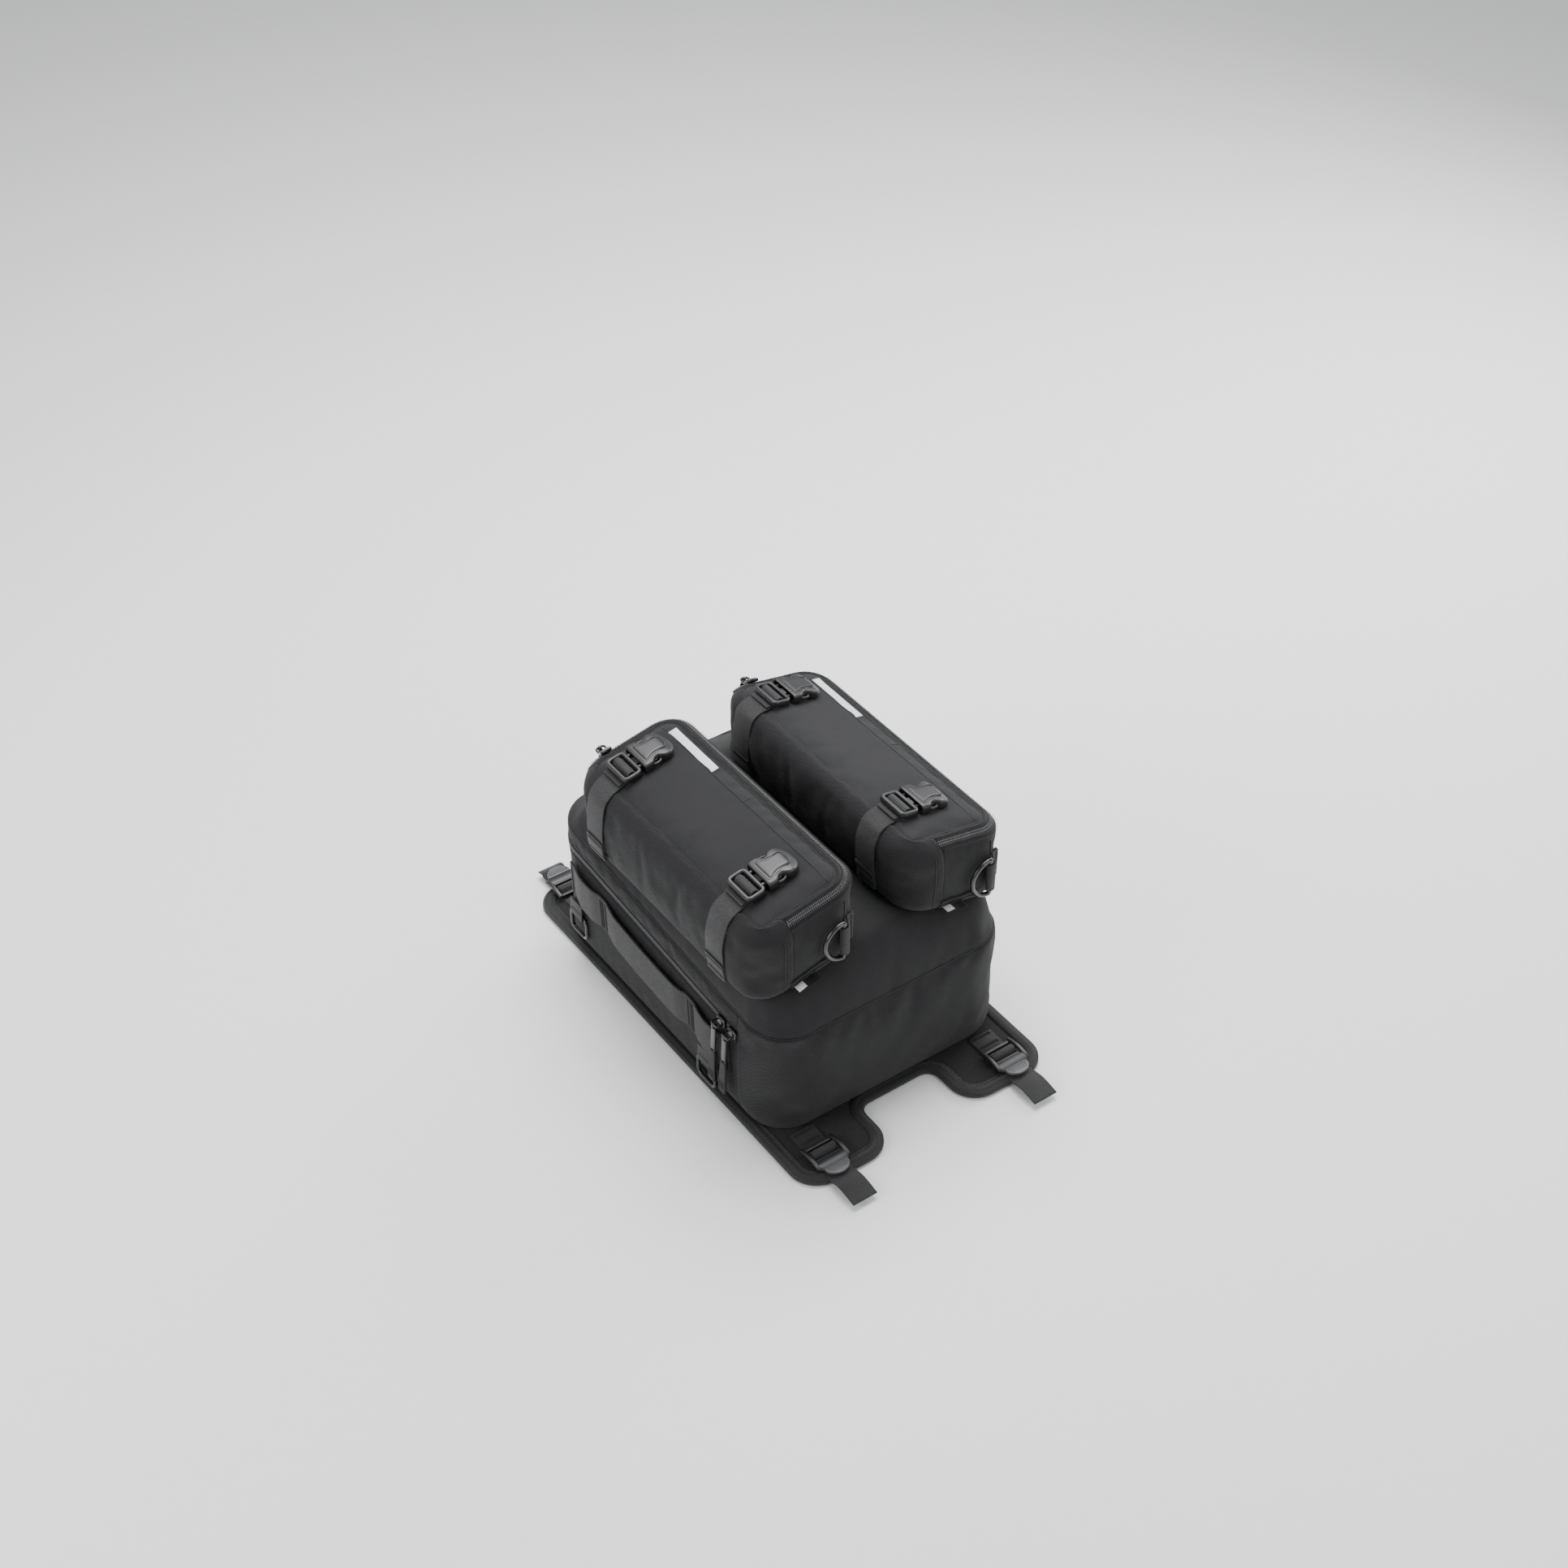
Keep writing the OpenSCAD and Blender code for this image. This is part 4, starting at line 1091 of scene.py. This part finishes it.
SOCKET_X, CLIP_X, BUCKLE_LIFT = 42, 20, 0.3
for side, s in SIDES.items():
    for end, strap_y in zip(("front", "rear"), strap_ys):
        place = top_place(s, SOCKET_X, strap_y, BUCKLE_LIFT)
        dress(placed(make_socket(f"{side}_{end}_socket_shell"), place), f"{side}_pod_lid", "moulding",
              f"{side}_{end}_socket")
        place = top_place(s, CLIP_X, strap_y, BUCKLE_LIFT)
        dress(placed(make_clip(f"{side}_{end}_clip_frame"), place), f"{side}_{end}_clip", "moulding",
              f"{side}_{end}_clip")
        dress(placed(threaded(f"{side}_{end}_clip_webbing", 24), place), f"{side}_{end}_clip", "webbing")

# %% [markdown]
# ## Details on the pods
# A thin seam runs lengthwise near the right edge of each lid, with one bartack across at mid length,
# and a pale strip lies near the front. The rear wall has a seam up each side, a short zip along its
# foot, a small patch, and a large D-ring held by a loop of webbing near its right corner.

# %% Seams, strips and patches on the pods
ABOVE, BEHIND = 400, -320


def from_above(tree, x, y):
    return touch(tree, (x, y, ABOVE), (0, 0, -1))


for side, s in SIDES.items():
    tree, centre = pod_skins[side], s * pod_x
    top_way = top_out(s)
    fine = np.array([from_above(tree, centre + 28, pod_y + y) for y in np.arange(-124, 125, 3)])
    pieces = [sweep(f"{side}_top_seam", smoothed(fine) + top_way * 0.05, top_way, oval(0.5, 0.42, 8),
                    seam_shade_cord_finish)]
    tack = np.array([from_above(tree, centre + x, pod_y - 4) for x in np.arange(29.5, 41, 1.5)])
    pieces.append(stitches(f"{side}_top_tack", tack + top_way * 0.1, top_way, 2.4, 1.6, 0.4))
    dress(joined(f"{side}_pod_top_seams", pieces), f"{side}_pod_lid", "binding")
    strip_low, strip_high = box_mm(f"{side}_pod_strip")
    middle_x = (strip_low[0] + strip_high[0]) / 2
    line = np.array([from_above(tree, middle_x, y) for y in np.arange(strip_low[1], strip_high[1], 2.0)])
    strip = sweep(f"{side}_pale_strip", smoothed(line, 40) + top_way * 0.5, top_way, band(8.6, 0.5, 0.2),
                  strip_finish, across=(math.cos(slope), 0, -math.sin(s * slope)))
    dress(strip, f"{side}_pod_lid", "strip", f"{side}_pod_strip")

    def rear_line(x, levels):
        return np.array([touch(tree, (centre + x, BEHIND, pod_z - s * x * lean + level), (0, 1, 0))
                         for level in levels])

    pieces = []
    for x in (-27, 34):
        up_line = smoothed(rear_line(x, np.arange(4, 62, 2.5))) + [0, -0.1, 0]
        pieces.append(sweep(f"{side}_rear_seam", up_line, (0, -1, 0), oval(0.6, 0.5, 8), seam_shade_cord_finish))
        pieces.append(stitches(f"{side}_rear_stitch", up_line + [2.2, -0.15, 0], (0, -1, 0), 3.2, 2.2, 0.26))
    dress(joined(f"{side}_pod_rear_seams", pieces), "main_lid", "binding")
    foot_xs = np.arange(-20, 20.5, 2)
    low_edge, high_edge = (np.array([rear_line(x, [level])[0] for x in foot_xs]) + [0, -0.9, 0]
                           for level in (4.6, 12))
    mid, outward, across = coil_zip(f"{side}_foot_zip", low_edge, high_edge, ("main_lid", "main_lid"),
                                    ("pod_foot_zips" if s < 0 else "", ""), 0.1, 1.6, 1.0)
    slide = loft(f"{side}_foot_slider", [(mid[2] + outward[2] * d, -w, w, -h, h) for d, w, h in
                                         ((0.3, 2.6, 2), (1, 3.4, 2.6), (2, 3.4, 2.6), (2.6, 2.4, 1.8))],
                 headings(mid)[2], across[2], enamel, 1.0)
    dress(slide, "main_lid", "slider_metal")
    patch_line = np.array([(centre + x, pod_y - 144.6, pod_z - s * x * lean + 4.3 + 0.5 * math.sin(x * 0.5))
                           for x in np.linspace(-17, 5, 12)])
    cloth_part = sweep(f"{side}_patch", patch_line, top_way, band(9, 0.9), tape_cloth, across=(0, 1, 0))
    pale_part = sweep(f"{side}_patch_print", patch_line[:5] + top_way * 0.55, top_way, band(7.4, 0.3, 0.1),
                      label_finish, across=(0, 1, 0))
    nodes = ["pod_labels"] if s < 0 else []
    dress(joined(f"{side}_pod_patch", [cloth_part, pale_part]), "main_lid", "label", *nodes)

# %% D-rings and their loops
for side, s in SIDES.items():
    hinge_x, hinge_y, hinge_z = s * pod_x + 27, pod_y - 149, pod_z - s * 27 * lean + 31
    turns = np.linspace(-math.pi / 2, math.pi / 2, 25)
    line = [(0, 0, z) for z in np.linspace(17, -17, 12)]
    line += [(-19 * math.cos(t), 0, 19 * math.sin(t)) for t in turns]
    line = np.array(line) + [hinge_x, hinge_y, hinge_z]
    ring = sweep(f"{side}_d_ring", even(line, 1.6, True), (0, 1, 0), oval(2.1, 2.1, 14), enamel,
                 closed=True)
    dress(ring, f"{side}_pod_d_ring", "slider_metal", f"{side}_pod_d_ring")
    wall_y = touch(pod_skins[side], (hinge_x + 14, BEHIND, hinge_z), (0, 1, 0))[1] - hinge_y
    path = [(17, wall_y - 1.2), (9, wall_y - 1.6), (3.5, 2.4), (-1.2, 3.1), (-3.3, 0), (-1.2, -3.1),
            (3.5, -2.6), (10, wall_y - 4.0), (17, wall_y - 3.0)]
    line = smoothed(even([(hinge_x + x, hinge_y + y, hinge_z) for x, y in path], 1.0), 2)
    loop = sweep(f"{side}_ring_webbing", line, (0, -1, 0), band(29, 1.5), webbing, across=(0, 0, 1))
    tack_y = hinge_y + wall_y - 4.0
    tacks = [bartack(f"{side}_ring_tack_{k}", (hinge_x + x, tack_y, hinge_z), (0, 0, 1), (0, -1, 0), 26)
             for k, x in enumerate((10.5, 15))]
    dress(joined(f"{side}_ring_loop_webbing", [loop, *tacks]), "main_lid", "webbing", f"{side}_pod_ring_loop")

# %% [markdown]
# ## Webbing and rings on the sides
# One broad webbing is tacked along each side so that it stands off in loops. The long loop in the
# middle is a handle, and it sags a little. Below it hang two rings, each in a folded tab.

# %% Side webbing
SIDE_LOOPS = [(129.6, 89.1, 3), (75.6, -51.3, 6), (-64.8, -105.3, 3)]
SIDE_TACKS = (135, 86, 82.5, 78.7, -54.5, -58, -61.5, -108.5, -112)
side_drop, tab_drop, side_limit = 54, 74, half_w + 8.0


def wall_x(s, y, z):
    """How far out the side wall is, at one y and z."""
    return abs(touch(main_skin, (s * 300, y, z), (-s, 0, 0))[0])


for side, s in SIDES.items():
    ys = np.arange(138, -114.1, -1.5)
    raised = np.zeros(len(ys))
    for first, last, gap in SIDE_LOOPS:
        share = (first - ys) / (first - last)
        raised += np.where((share > 0) & (share < 1), gap * np.sin(np.clip(share, 0, 1) * math.pi) ** 0.7, 0)
    line = []
    for y, lift in zip(ys, raised):
        z = seam_z(y) - side_drop
        out = max(wall_x(s, y, z + dz) for dz in (-15, 0, 15))
        line.append((s * min(out + 1.25 + lift, side_limit - 1), y, z - 0.55 * lift))
    line = smoothed(line, 2)
    strip = sweep(f"{side}_side_webbing", line, (s, 0, 0), band(36, 1.9), webbing, across=(0, 0.05, 1))
    pieces = [strip]
    for y in SIDE_TACKS:
        k = int(np.argmin(np.abs(line[:, 1] - y)))
        pieces.append(bartack(f"{side}_side_tack", line[k] + [s * 1.05, 0, 0], (0, 0.05, 1), (s, 0, 0), 32))
    dress(joined(f"{side}_grab_strap", pieces), "bag_body", "webbing", f"{side}_grab_webbing")

# %% Side rings in their tabs
for side, s in SIDES.items():
    tabs = []
    for end in ("front", "rear"):
        low, high = box_mm(f"{side}_{end}_side_ring")
        y, z = (low[1] + high[1]) / 2, (low[2] + high[2]) / 2
        out = max(wall_x(s, y + dy, z + dz) for dy in (-14, 0, 14) for dz in (-12, 0, 12)) - half_w
        out = min(max(out, 0), 4.0)
        x = s * (half_w + 2.2 + out)
        ring_corners = [(y + a, z + b) for a, b in ((-13, -11), (13, -11), (13, 11), (-13, 11))]
        ring_line = outline_with_arcs(ring_corners, [5] * 4, 1.2)
        ring = sweep(f"{side}_{end}_ring", [(x, a, b) for a, b in ring_line], (s, 0, 0),
                     oval(1.75, 1.75, 12), enamel, closed=True)
        dress(ring, "bag_body", "slider_metal", f"{side}_{end}_side_ring")
        top = seam_z(y) - tab_drop
        path = [(2.0, top), (2.4, z + 16), (2.8, z + 11), (1.6, z + 8.6), (0, z + 8.0), (-1.6, z + 8.6),
                (-2.3, z + 11), (-2.0, z + 15), (-0.4, top - 1)]
        tab_line = smoothed(even([(x + s * a, y, b) for a, b in path], 1.0), 1)
        tabs.append(sweep(f"{side}_{end}_tab", tab_line, (s, 0, 0), band(20, 1.2), webbing,
                          across=(0, 1, 0)))
        tabs.append(bartack(f"{side}_{end}_tab_tack", (x + s * 2.85, y, z + 17.5), (0, 1, 0), (s, 0, 0),
                            16, 2.4))
    dress(joined(f"{side}_side_tabs", tabs), "bag_body", "webbing", f"{side}_ring_tabs")

# %% [markdown]
# ## The base
# The base is a padded sheet with four rounded tabs. Herringbone tape is folded over its edge all the
# way round and stitched through. The sheet's top and underside are filled with small triangles, so
# that both can swell a little inside the tape.

# %% Base pad and its binding
pad_low, pad_high = box_mm("base_pad")
lock_x = abs(joints["rear_right_ladder_lock_tilt"]["pos_m"][0]) * 1000
tab_in, px, py = 40, pad_high[0], bag_l / 2 + 4
base_corners = [(-px, pad_low[1]), (-tab_in, pad_low[1]), (-tab_in, -py), (tab_in, -py),
                (tab_in, pad_low[1]), (px, pad_low[1]), (px, pad_high[1]), (tab_in, pad_high[1]),
                (tab_in, py), (-tab_in, py), (-tab_in, pad_high[1]), (-px, pad_high[1])]
base_radii = [26, 26, 12, 12, 26, 26, 26, 26, 12, 12, 26, 26]
edge_line = even(outline_with_arcs(base_corners, base_radii, 3.0), 3.2, True)


def inset_line(line, amount):
    """A flat closed line moved in from itself."""
    ahead = headings(line, True)
    return line - np.column_stack([ahead[:, 1], -ahead[:, 0]]) * amount


def pad_sheet(name, level, swell_by, face_up):
    """A flat sheet inside the edge, filled with small triangles and raised a little in the middle."""
    border = inset_line(edge_line, 1.2)
    step, clear = 6.5, 3.5
    xs, ys = np.arange(-px, px, step), np.arange(pad_low[1], pad_high[1], step)
    grid = np.array([(x, y) for x in xs for y in ys])
    far = np.linalg.norm(grid[:, None] - border[None], axis=2)
    near = far.min(1)
    inside = []
    for point, distance, k in zip(grid, near, far.argmin(1)):
        ahead = border[(k + 1) % len(border)] - border[k - 1]
        toward = border[k] - point
        if distance > clear and ahead[0] * toward[1] - ahead[1] * toward[0] < 0:
            inside.append(point)
    points = [Vector(p) for p in border] + [Vector(p) for p in inside]
    edges = [(k, (k + 1) % len(border)) for k in range(len(border))]
    spots, _, faces, *_ = delaunay_2d_cdt(points, edges, [], 1, 1e-4)
    places = np.array([list(p) for p in spots])
    depth_in = np.linalg.norm(places[:, None] - border[None], axis=2).min(1)
    heights = level + swell_by * (1 - np.exp(-depth_in / 10))
    faces = [list(f) if face_up else list(f)[::-1] for f in faces]
    flat = [tuple(places[k]) for f in faces for k in f]
    return mesh_from(name, np.column_stack([places, heights]), faces, cloth, flat)


top_sheet = pad_sheet("base_top_sheet", 5.0, 1.1, True)
under_sheet = pad_sheet("base_under_sheet", 0.7, -0.6, False)
rim_sheet = sweep("base_rim", [(x, y, 3) for x, y in inset_line(edge_line, 1.6)], (0, 0, 1),
                  soft_box(-0.8, 0.8, -2.4, 2.1, 0.6), cloth, closed=True)
dress(joined("padded_base", [top_sheet, under_sheet, rim_sheet]), "bag_body", "pack_fabric", "base_pad")
tape_outside = [(-11.5, 6.7), (-6, 6.95), (-2, 6.6), (-0.5, 5.9), (0.35, 4.6), (0.5, 3.2), (0.35, 1.6),
                (-0.4, 0.6), (-2, 0.12), (-11.5, 0.1)]
tape_inside = [(-11.5, 0.7), (-2.2, 0.8), (-0.7, 3.2), (-2.2, 5.7), (-6, 6.1), (-11.5, 6.0)]
folded_tape = np.array(tape_outside + tape_inside)
tape = sweep("edge_tape", [(x, y, 0) for x, y in edge_line], (0, 0, 1), folded_tape, binding, closed=True)
seam_line = inset_line(edge_line, 9.9)
seam_line = [(x, y, 6.95) for x, y in np.vstack([seam_line, seam_line[:1]])]
tape_stitch = stitches("edge_tape_stitches", seam_line, (0, 0, 1), 3.6, 2.5, 0.34)
dress(joined("base_edge_tape", [tape, tape_stitch]), "bag_body", "binding", "base_binding")

# %% [markdown]
# ## Ladder locks and their straps
# Each tab carries a ladder lock: two arched rails, three bars with two windows between them, and a
# half-round thumb tab in a paler satin, which paints the highlight it catches. The strap is sewn to
# the tab, weaves through the windows over the middle bar, and comes out from under the thumb tab as a
# loose tail with a slight wave.

# %% Ladder locks
PLATE = [(17.5, 15.4, 1.6, 4.6), (19, 16.6, 1.2, 5.2), (22, 16.9, 1.0, 5.6), (24.5, 16.4, 0.9, 5.4),
         (26.5, 15.0, 0.9, 4.9), (28, 13.4, 1.0, 4.4), (29.5, 11.8, 1.2, 4.0)]
THUMB = [(27.5, 11.6, 1.6, 4.6), (28.2, 12.0, 1.4, 5.0), (30, 12.0, 1.5, 5.1), (32.5, 11.4, 1.8, 5.2),
         (35, 9.9, 2.1, 5.3), (37.2, 7.4, 2.5, 5.3), (38.7, 4.6, 2.9, 5.2), (39.4, 2, 3.3, 4.9)]


def make_lock(name):
    """A ladder lock: y runs from its hinge to its thumb tab."""
    pieces = []
    for way in (-1, 1):
        rail = [(15.3 * way, y, 2.6 + 2.9 * math.sin(math.pi * min(max((y + 1) / 29, 0), 1)))
                for y in np.linspace(-0.6, 26, 14)]
        pieces.append(sweep(name, rail, (0, 0, 1), soft_box(-1.9, 1.9, -1.7, 1.7, 1.3), satin))
    for y, z, half in ((1.8, 2.4, 1.9), (10, 3.4, 1.9), (18.2, 3.4, 2.1)):
        pieces.append(sweep(f"{name}_bar", [(x, y, z) for x in np.linspace(-15, 15, 9)], (0, 0, 1),
                            soft_box(-half, half, -1.5, 1.5, 1.2), satin))
    for part, shape, finish, corner in (("plate", PLATE, satin, 1.4), ("thumb", THUMB, highlit_grip, 1.2)):
        stations = [((0, y, 0), -w, w, low, high) for y, w, low, high in shape]
        solid = loft(f"{name}_{part}", stations, (1, 0, 0), (0, 0, 1), finish, corner)
        pieces.append(finished(solid, levels=1))
    for y, half in ((30.2, 10), (32.4, 9.2), (34.6, 7.8)):
        pieces.append(sweep(f"{name}_ridge", [(x, y, 5.15) for x in np.linspace(-half, half, 7)], (0, 0, 1),
                            oval(0.5, 0.5, 8), highlit_grip))
    return joined(name, pieces)


# The thumb tab's satin is a lighter copy of the satin moulding: a painted highlight.
highlit_grip = moulded("grip_painted_highlight", (0.05, 0.05, 0.053), (0.085, 0.085, 0.089), 0.42, 0.02, 0.55)
tail_level, tail_dip, sewn_level = 7.0, 0.9, 7.95


def share_of(t, start, run):
    """How far t has come from start, as a share of a run, from 0 to 1."""
    return max(0, min(1, (t - start) / run))


def tail_z(t, length):
    """The height of a strap's tail: it dips after its stitches, and its free end waves a little."""
    level = tail_level - tail_dip * share_of(t, 14, 8) * (1 - share_of(t, 58, 14))
    return level + (1.6 * math.sin((t - 60) / (length - 60) * math.pi * 1.25) if t > 60 else 0)


for end, turn in (("rear", math.pi), ("front", 0.0)):
    for side, s in SIDES.items():
        node = f"{end}_{side}_ladder_lock"
        place = Matrix.Translation(Vector(joints[f"{node}_tilt"]["pos_m"])) @ Matrix.Rotation(turn, 4, "Z")
        dress(placed(make_lock(f"{node}_frame"), place), node, "moulding", node)
        weave = threaded(f"{node}_webbing", 24.5, -1.5, 3.0)
        weave.data.transform(Matrix.Rotation(math.pi / 2, 4, "Z"))
        dress(placed(weave, place), node, "webbing")
        low, high = box_mm(f"{end}_{side}_strap")
        way = -1 if end == "rear" else 1
        length = high[1] - low[1]
        reach = np.linspace(0, length, 40)
        start_y = high[1] if way < 0 else low[1]
        tail = [(s * lock_x, start_y + way * t, tail_z(t, length)) for t in reach]
        strap = sweep(f"{node}_tail", tail, (0, 0, 1), band(web_w, 1.5), webbing, across=(1, 0, 0))
        sewn = [bartack(f"{node}_tack", (s * lock_x, start_y + way * t, sewn_level), (1, 0, 0), (0, 0, 1), 21)
                for t in (3, 14)]
        end_line = [(s * lock_x + x, start_y + way * (length - 7), 7.3) for x in (-11, 11)]
        end_tack = stitches(f"{node}_end_stitches", end_line, (0, 0, 1), 2.6, 1.8, 0.3)
        dress(joined(f"{node}_strap", [strap, *sewn, end_tack]), "bag_body", "webbing",
              f"{end}_{side}_strap")

# %% [markdown]
# ## Sliders, pulls and the front pocket
# A slider is a small cast body with a bail, which holds the pull. The pull is a glossy bar, a small
# ring and a tapered rubber tab, one under the other. Each rides its own body, so the pull can swing
# from the bail while the slider runs along the zip.

# %% Sliders and pulls
def slider_place(origin, tilt, turn):
    return Matrix.Translation(Vector(origin) * 0.001) @ tilt @ Matrix.Rotation(turn, 4, "Z")


SLIDER = [(0.4, 4.6, 3.2), (0.9, 5.7, 4.2), (2.2, 6, 4.5), (3.6, 5.8, 4.3), (4.4, 4.6, 3.2)]


def make_slider(name, bail, root=3.4, seat=Matrix()):
    """A slider's body on its seat, and the bail that stands out from it."""
    body = loft(name, [((x, 0, 0), -w, w, -h, h) for x, w, h in SLIDER], (0, 1, 0), (0, 0, 1), enamel, 1.8)
    placed(body, seat)
    bail_end, half = bail - 0.8, 4.2
    corners = [(root, -half), (bail_end, -half), (bail_end, half), (root, half)]
    arch = even(outline_with_arcs(corners, [0, 2.6, 2.6, 0], 0.7), 0.9)
    bail_part = sweep(f"{name}_bail", [(x, y, 0) for x, y in arch], (0, 0, 1), oval(0.9, 1.3, 8), enamel)
    return joined(name, [finished(body, levels=1), bail_part])


def make_pull(name, axis_x, long):
    """Hangs down from the bail: a hook ring, a bar plate, a small ring and a rubber tab."""
    turns = np.linspace(0, 2 * math.pi, 20, endpoint=False)
    hook = [(axis_x + 1.9 * math.cos(t), 0, -1.4 + 2.5 * math.sin(t)) for t in turns]
    pieces = [sweep(name, hook, (0, 1, 0), oval(0.75, 1.5, 8), enamel, closed=True)]
    bar_end = 0.42 * long
    bar = [((axis_x, 0, z), -w, w, -1.25, 1.25) for z, w in
           ((-3.2, 2.2), (-4, 2.9), (-6, 3.3), (-bar_end + 3, 3.3), (-bar_end + 1, 2.9), (-bar_end, 2.0))]
    pieces.append(finished(loft(f"{name}_bar", bar, (0, 1, 0), (1, 0, 0), enamel, 1.2), levels=1))
    ring = [(axis_x, 2.4 * math.cos(t), -bar_end - 1.6 + 3.0 * math.sin(t)) for t in turns]
    pieces.append(sweep(f"{name}_ring", ring, (1, 0, 0), oval(0.75, 0.75, 8), enamel, closed=True))
    tab = [((axis_x, 0, z), -w, w, -t, t) for z, w, t in
           ((-bar_end - 2.4, 2.6, 1.0), (-bar_end - 3.4, 3.6, 1.4), (-bar_end - 6, 4.2, 1.5),
            (-long * 0.8, 4.9, 1.5), (-long + 3, 5.4, 1.4), (-long + 1, 4.9, 1.3), (-long, 3.6, 0.9))]
    pieces.append(finished(loft(f"{name}_tab", tab, (0, 1, 0), (1, 0, 0), rubber, 1.2), levels=1))
    for k in range(4):
        z = -long * 0.8 - 1 - k * 2.2
        for out in (1.45, -1.45):
            pieces.append(sweep(f"{name}_grip", [(axis_x + out, y, z) for y in np.linspace(-3.4, 3.4, 5)],
                                (1, 0, 0), oval(0.45, 0.4, 6), rubber))
    return joined(name, pieces)


tilt_main, zip_mid = Matrix.Rotation(pitch, 4, "X"), skirt_h + zip_w / 2
for end in ("rear", "front"):
    low, high = box_mm(f"{end}_zip_slider")
    y = (low[1] + high[1]) / 2
    place = slider_place((-half_w, y, seam_z(y) - zip_mid), tilt_main, math.pi)
    dress(placed(make_slider(f"{end}_slider_body", 11.5), place), f"{end}_zip_slider", "slider_metal",
          f"{end}_zip_slider")
    dress(placed(make_pull(f"{end}_pull_parts", 10, 72), place), f"{end}_zip_pull", "pull_rubber",
          f"{end}_zip_pull")
for side, s in SIDES.items():
    origin = (s * pod_x - 21, pod_y + pod_l / 2, pod_z + s * 21 * lean + 69)
    place = slider_place(origin, Matrix.Rotation(s * slope, 4, "Y"), math.pi / 2)
    seat = Matrix.Translation((-0.0047, 0, 0.0022)) @ Matrix.Rotation(math.radians(-50), 4, "Y")
    dress(placed(make_slider(f"{side}_pod_slider_body", 9, -1.0, seat), place), f"{side}_pod_slider",
          "slider_metal", f"{side}_pod_slider")
    dress(placed(make_pull(f"{side}_pod_pull_parts", 7.5, 44), place), f"{side}_pod_pull", "pull_rubber",
          f"{side}_pod_pull")

# %% Front pocket
pocket_low, pocket_high = box_mm("front_pocket")
pocket_w, pocket_t = pocket_high[2] - pocket_low[2], pocket_high[0] - pocket_low[0]
middle_z = (pocket_high[2] + pocket_low[2]) / 2
POCKET = [(0, -0.8), (0, 1.5), (0.4, 3.6), (2, 6), (5, 7.3), (10, 7.9), (18, 8.2), (28, 8.4), (39, 8.5)]
pocket_rows = []
for inset, y in POCKET:
    plan, ways = plan_ring(pocket_w, pocket_t, inset, [max(20 - inset, 1)] * 4, COUNTS["pod"])
    rise = np.array([0.9 * ripples((a, b, y), 30, 4) + 0.5 * ripples((a, b, y), 12, 6) for a, b in plan])
    rise *= min(1, max(0, y - 3) / 4)
    pocket_rows.append(np.column_stack([plan[:, 1], front_y + y + rise, middle_z + plan[:, 0]]))
pocket_rows = np.array(pocket_rows)
pocket_flat = np.concatenate([pocket_rows, pocket_rows[:, :1]], 1)[..., [0, 2]]
pocket = grid_piece("front_pocket_panel", pocket_rows, cloth, pocket_flat, tidy=True,
                    caps=spine_caps(len(pocket_rows) - 1, COUNTS["pod"]))
pocket_seam = sweep("front_pocket_seam", pocket_rows[0] + [0, 0.9, 0], (0, 1, 0), oval(0.8, 0.8, 8), thread,
                    closed=True)
dress(joined("front_pocket_panels", [finished(pocket, levels=1), pocket_seam]), "bag_body", "pack_fabric",
      "front_pocket")
pocket_line = np.array([(x, front_y + 8.9, middle_z + 22) for x in np.linspace(-70, 70, 36)])
pocket_half = [0, 0, 3.5]
coil_zip("front_pocket_zip", pocket_line - pocket_half, pocket_line + pocket_half, ("bag_body", "bag_body"),
         ("", ""), 0.2, 1.9, 1.2)

# %% [markdown]
# ## The visual box
# The visual model's box is printed, so a piece that has grown too far shows up.
# The visual model's box is compared with the frame's box, so a piece that has grown too far shows up.

# %% Print the visual box
low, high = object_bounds()
print("visual box", [round(1000 * c, 1) for c in (*low, *high)])
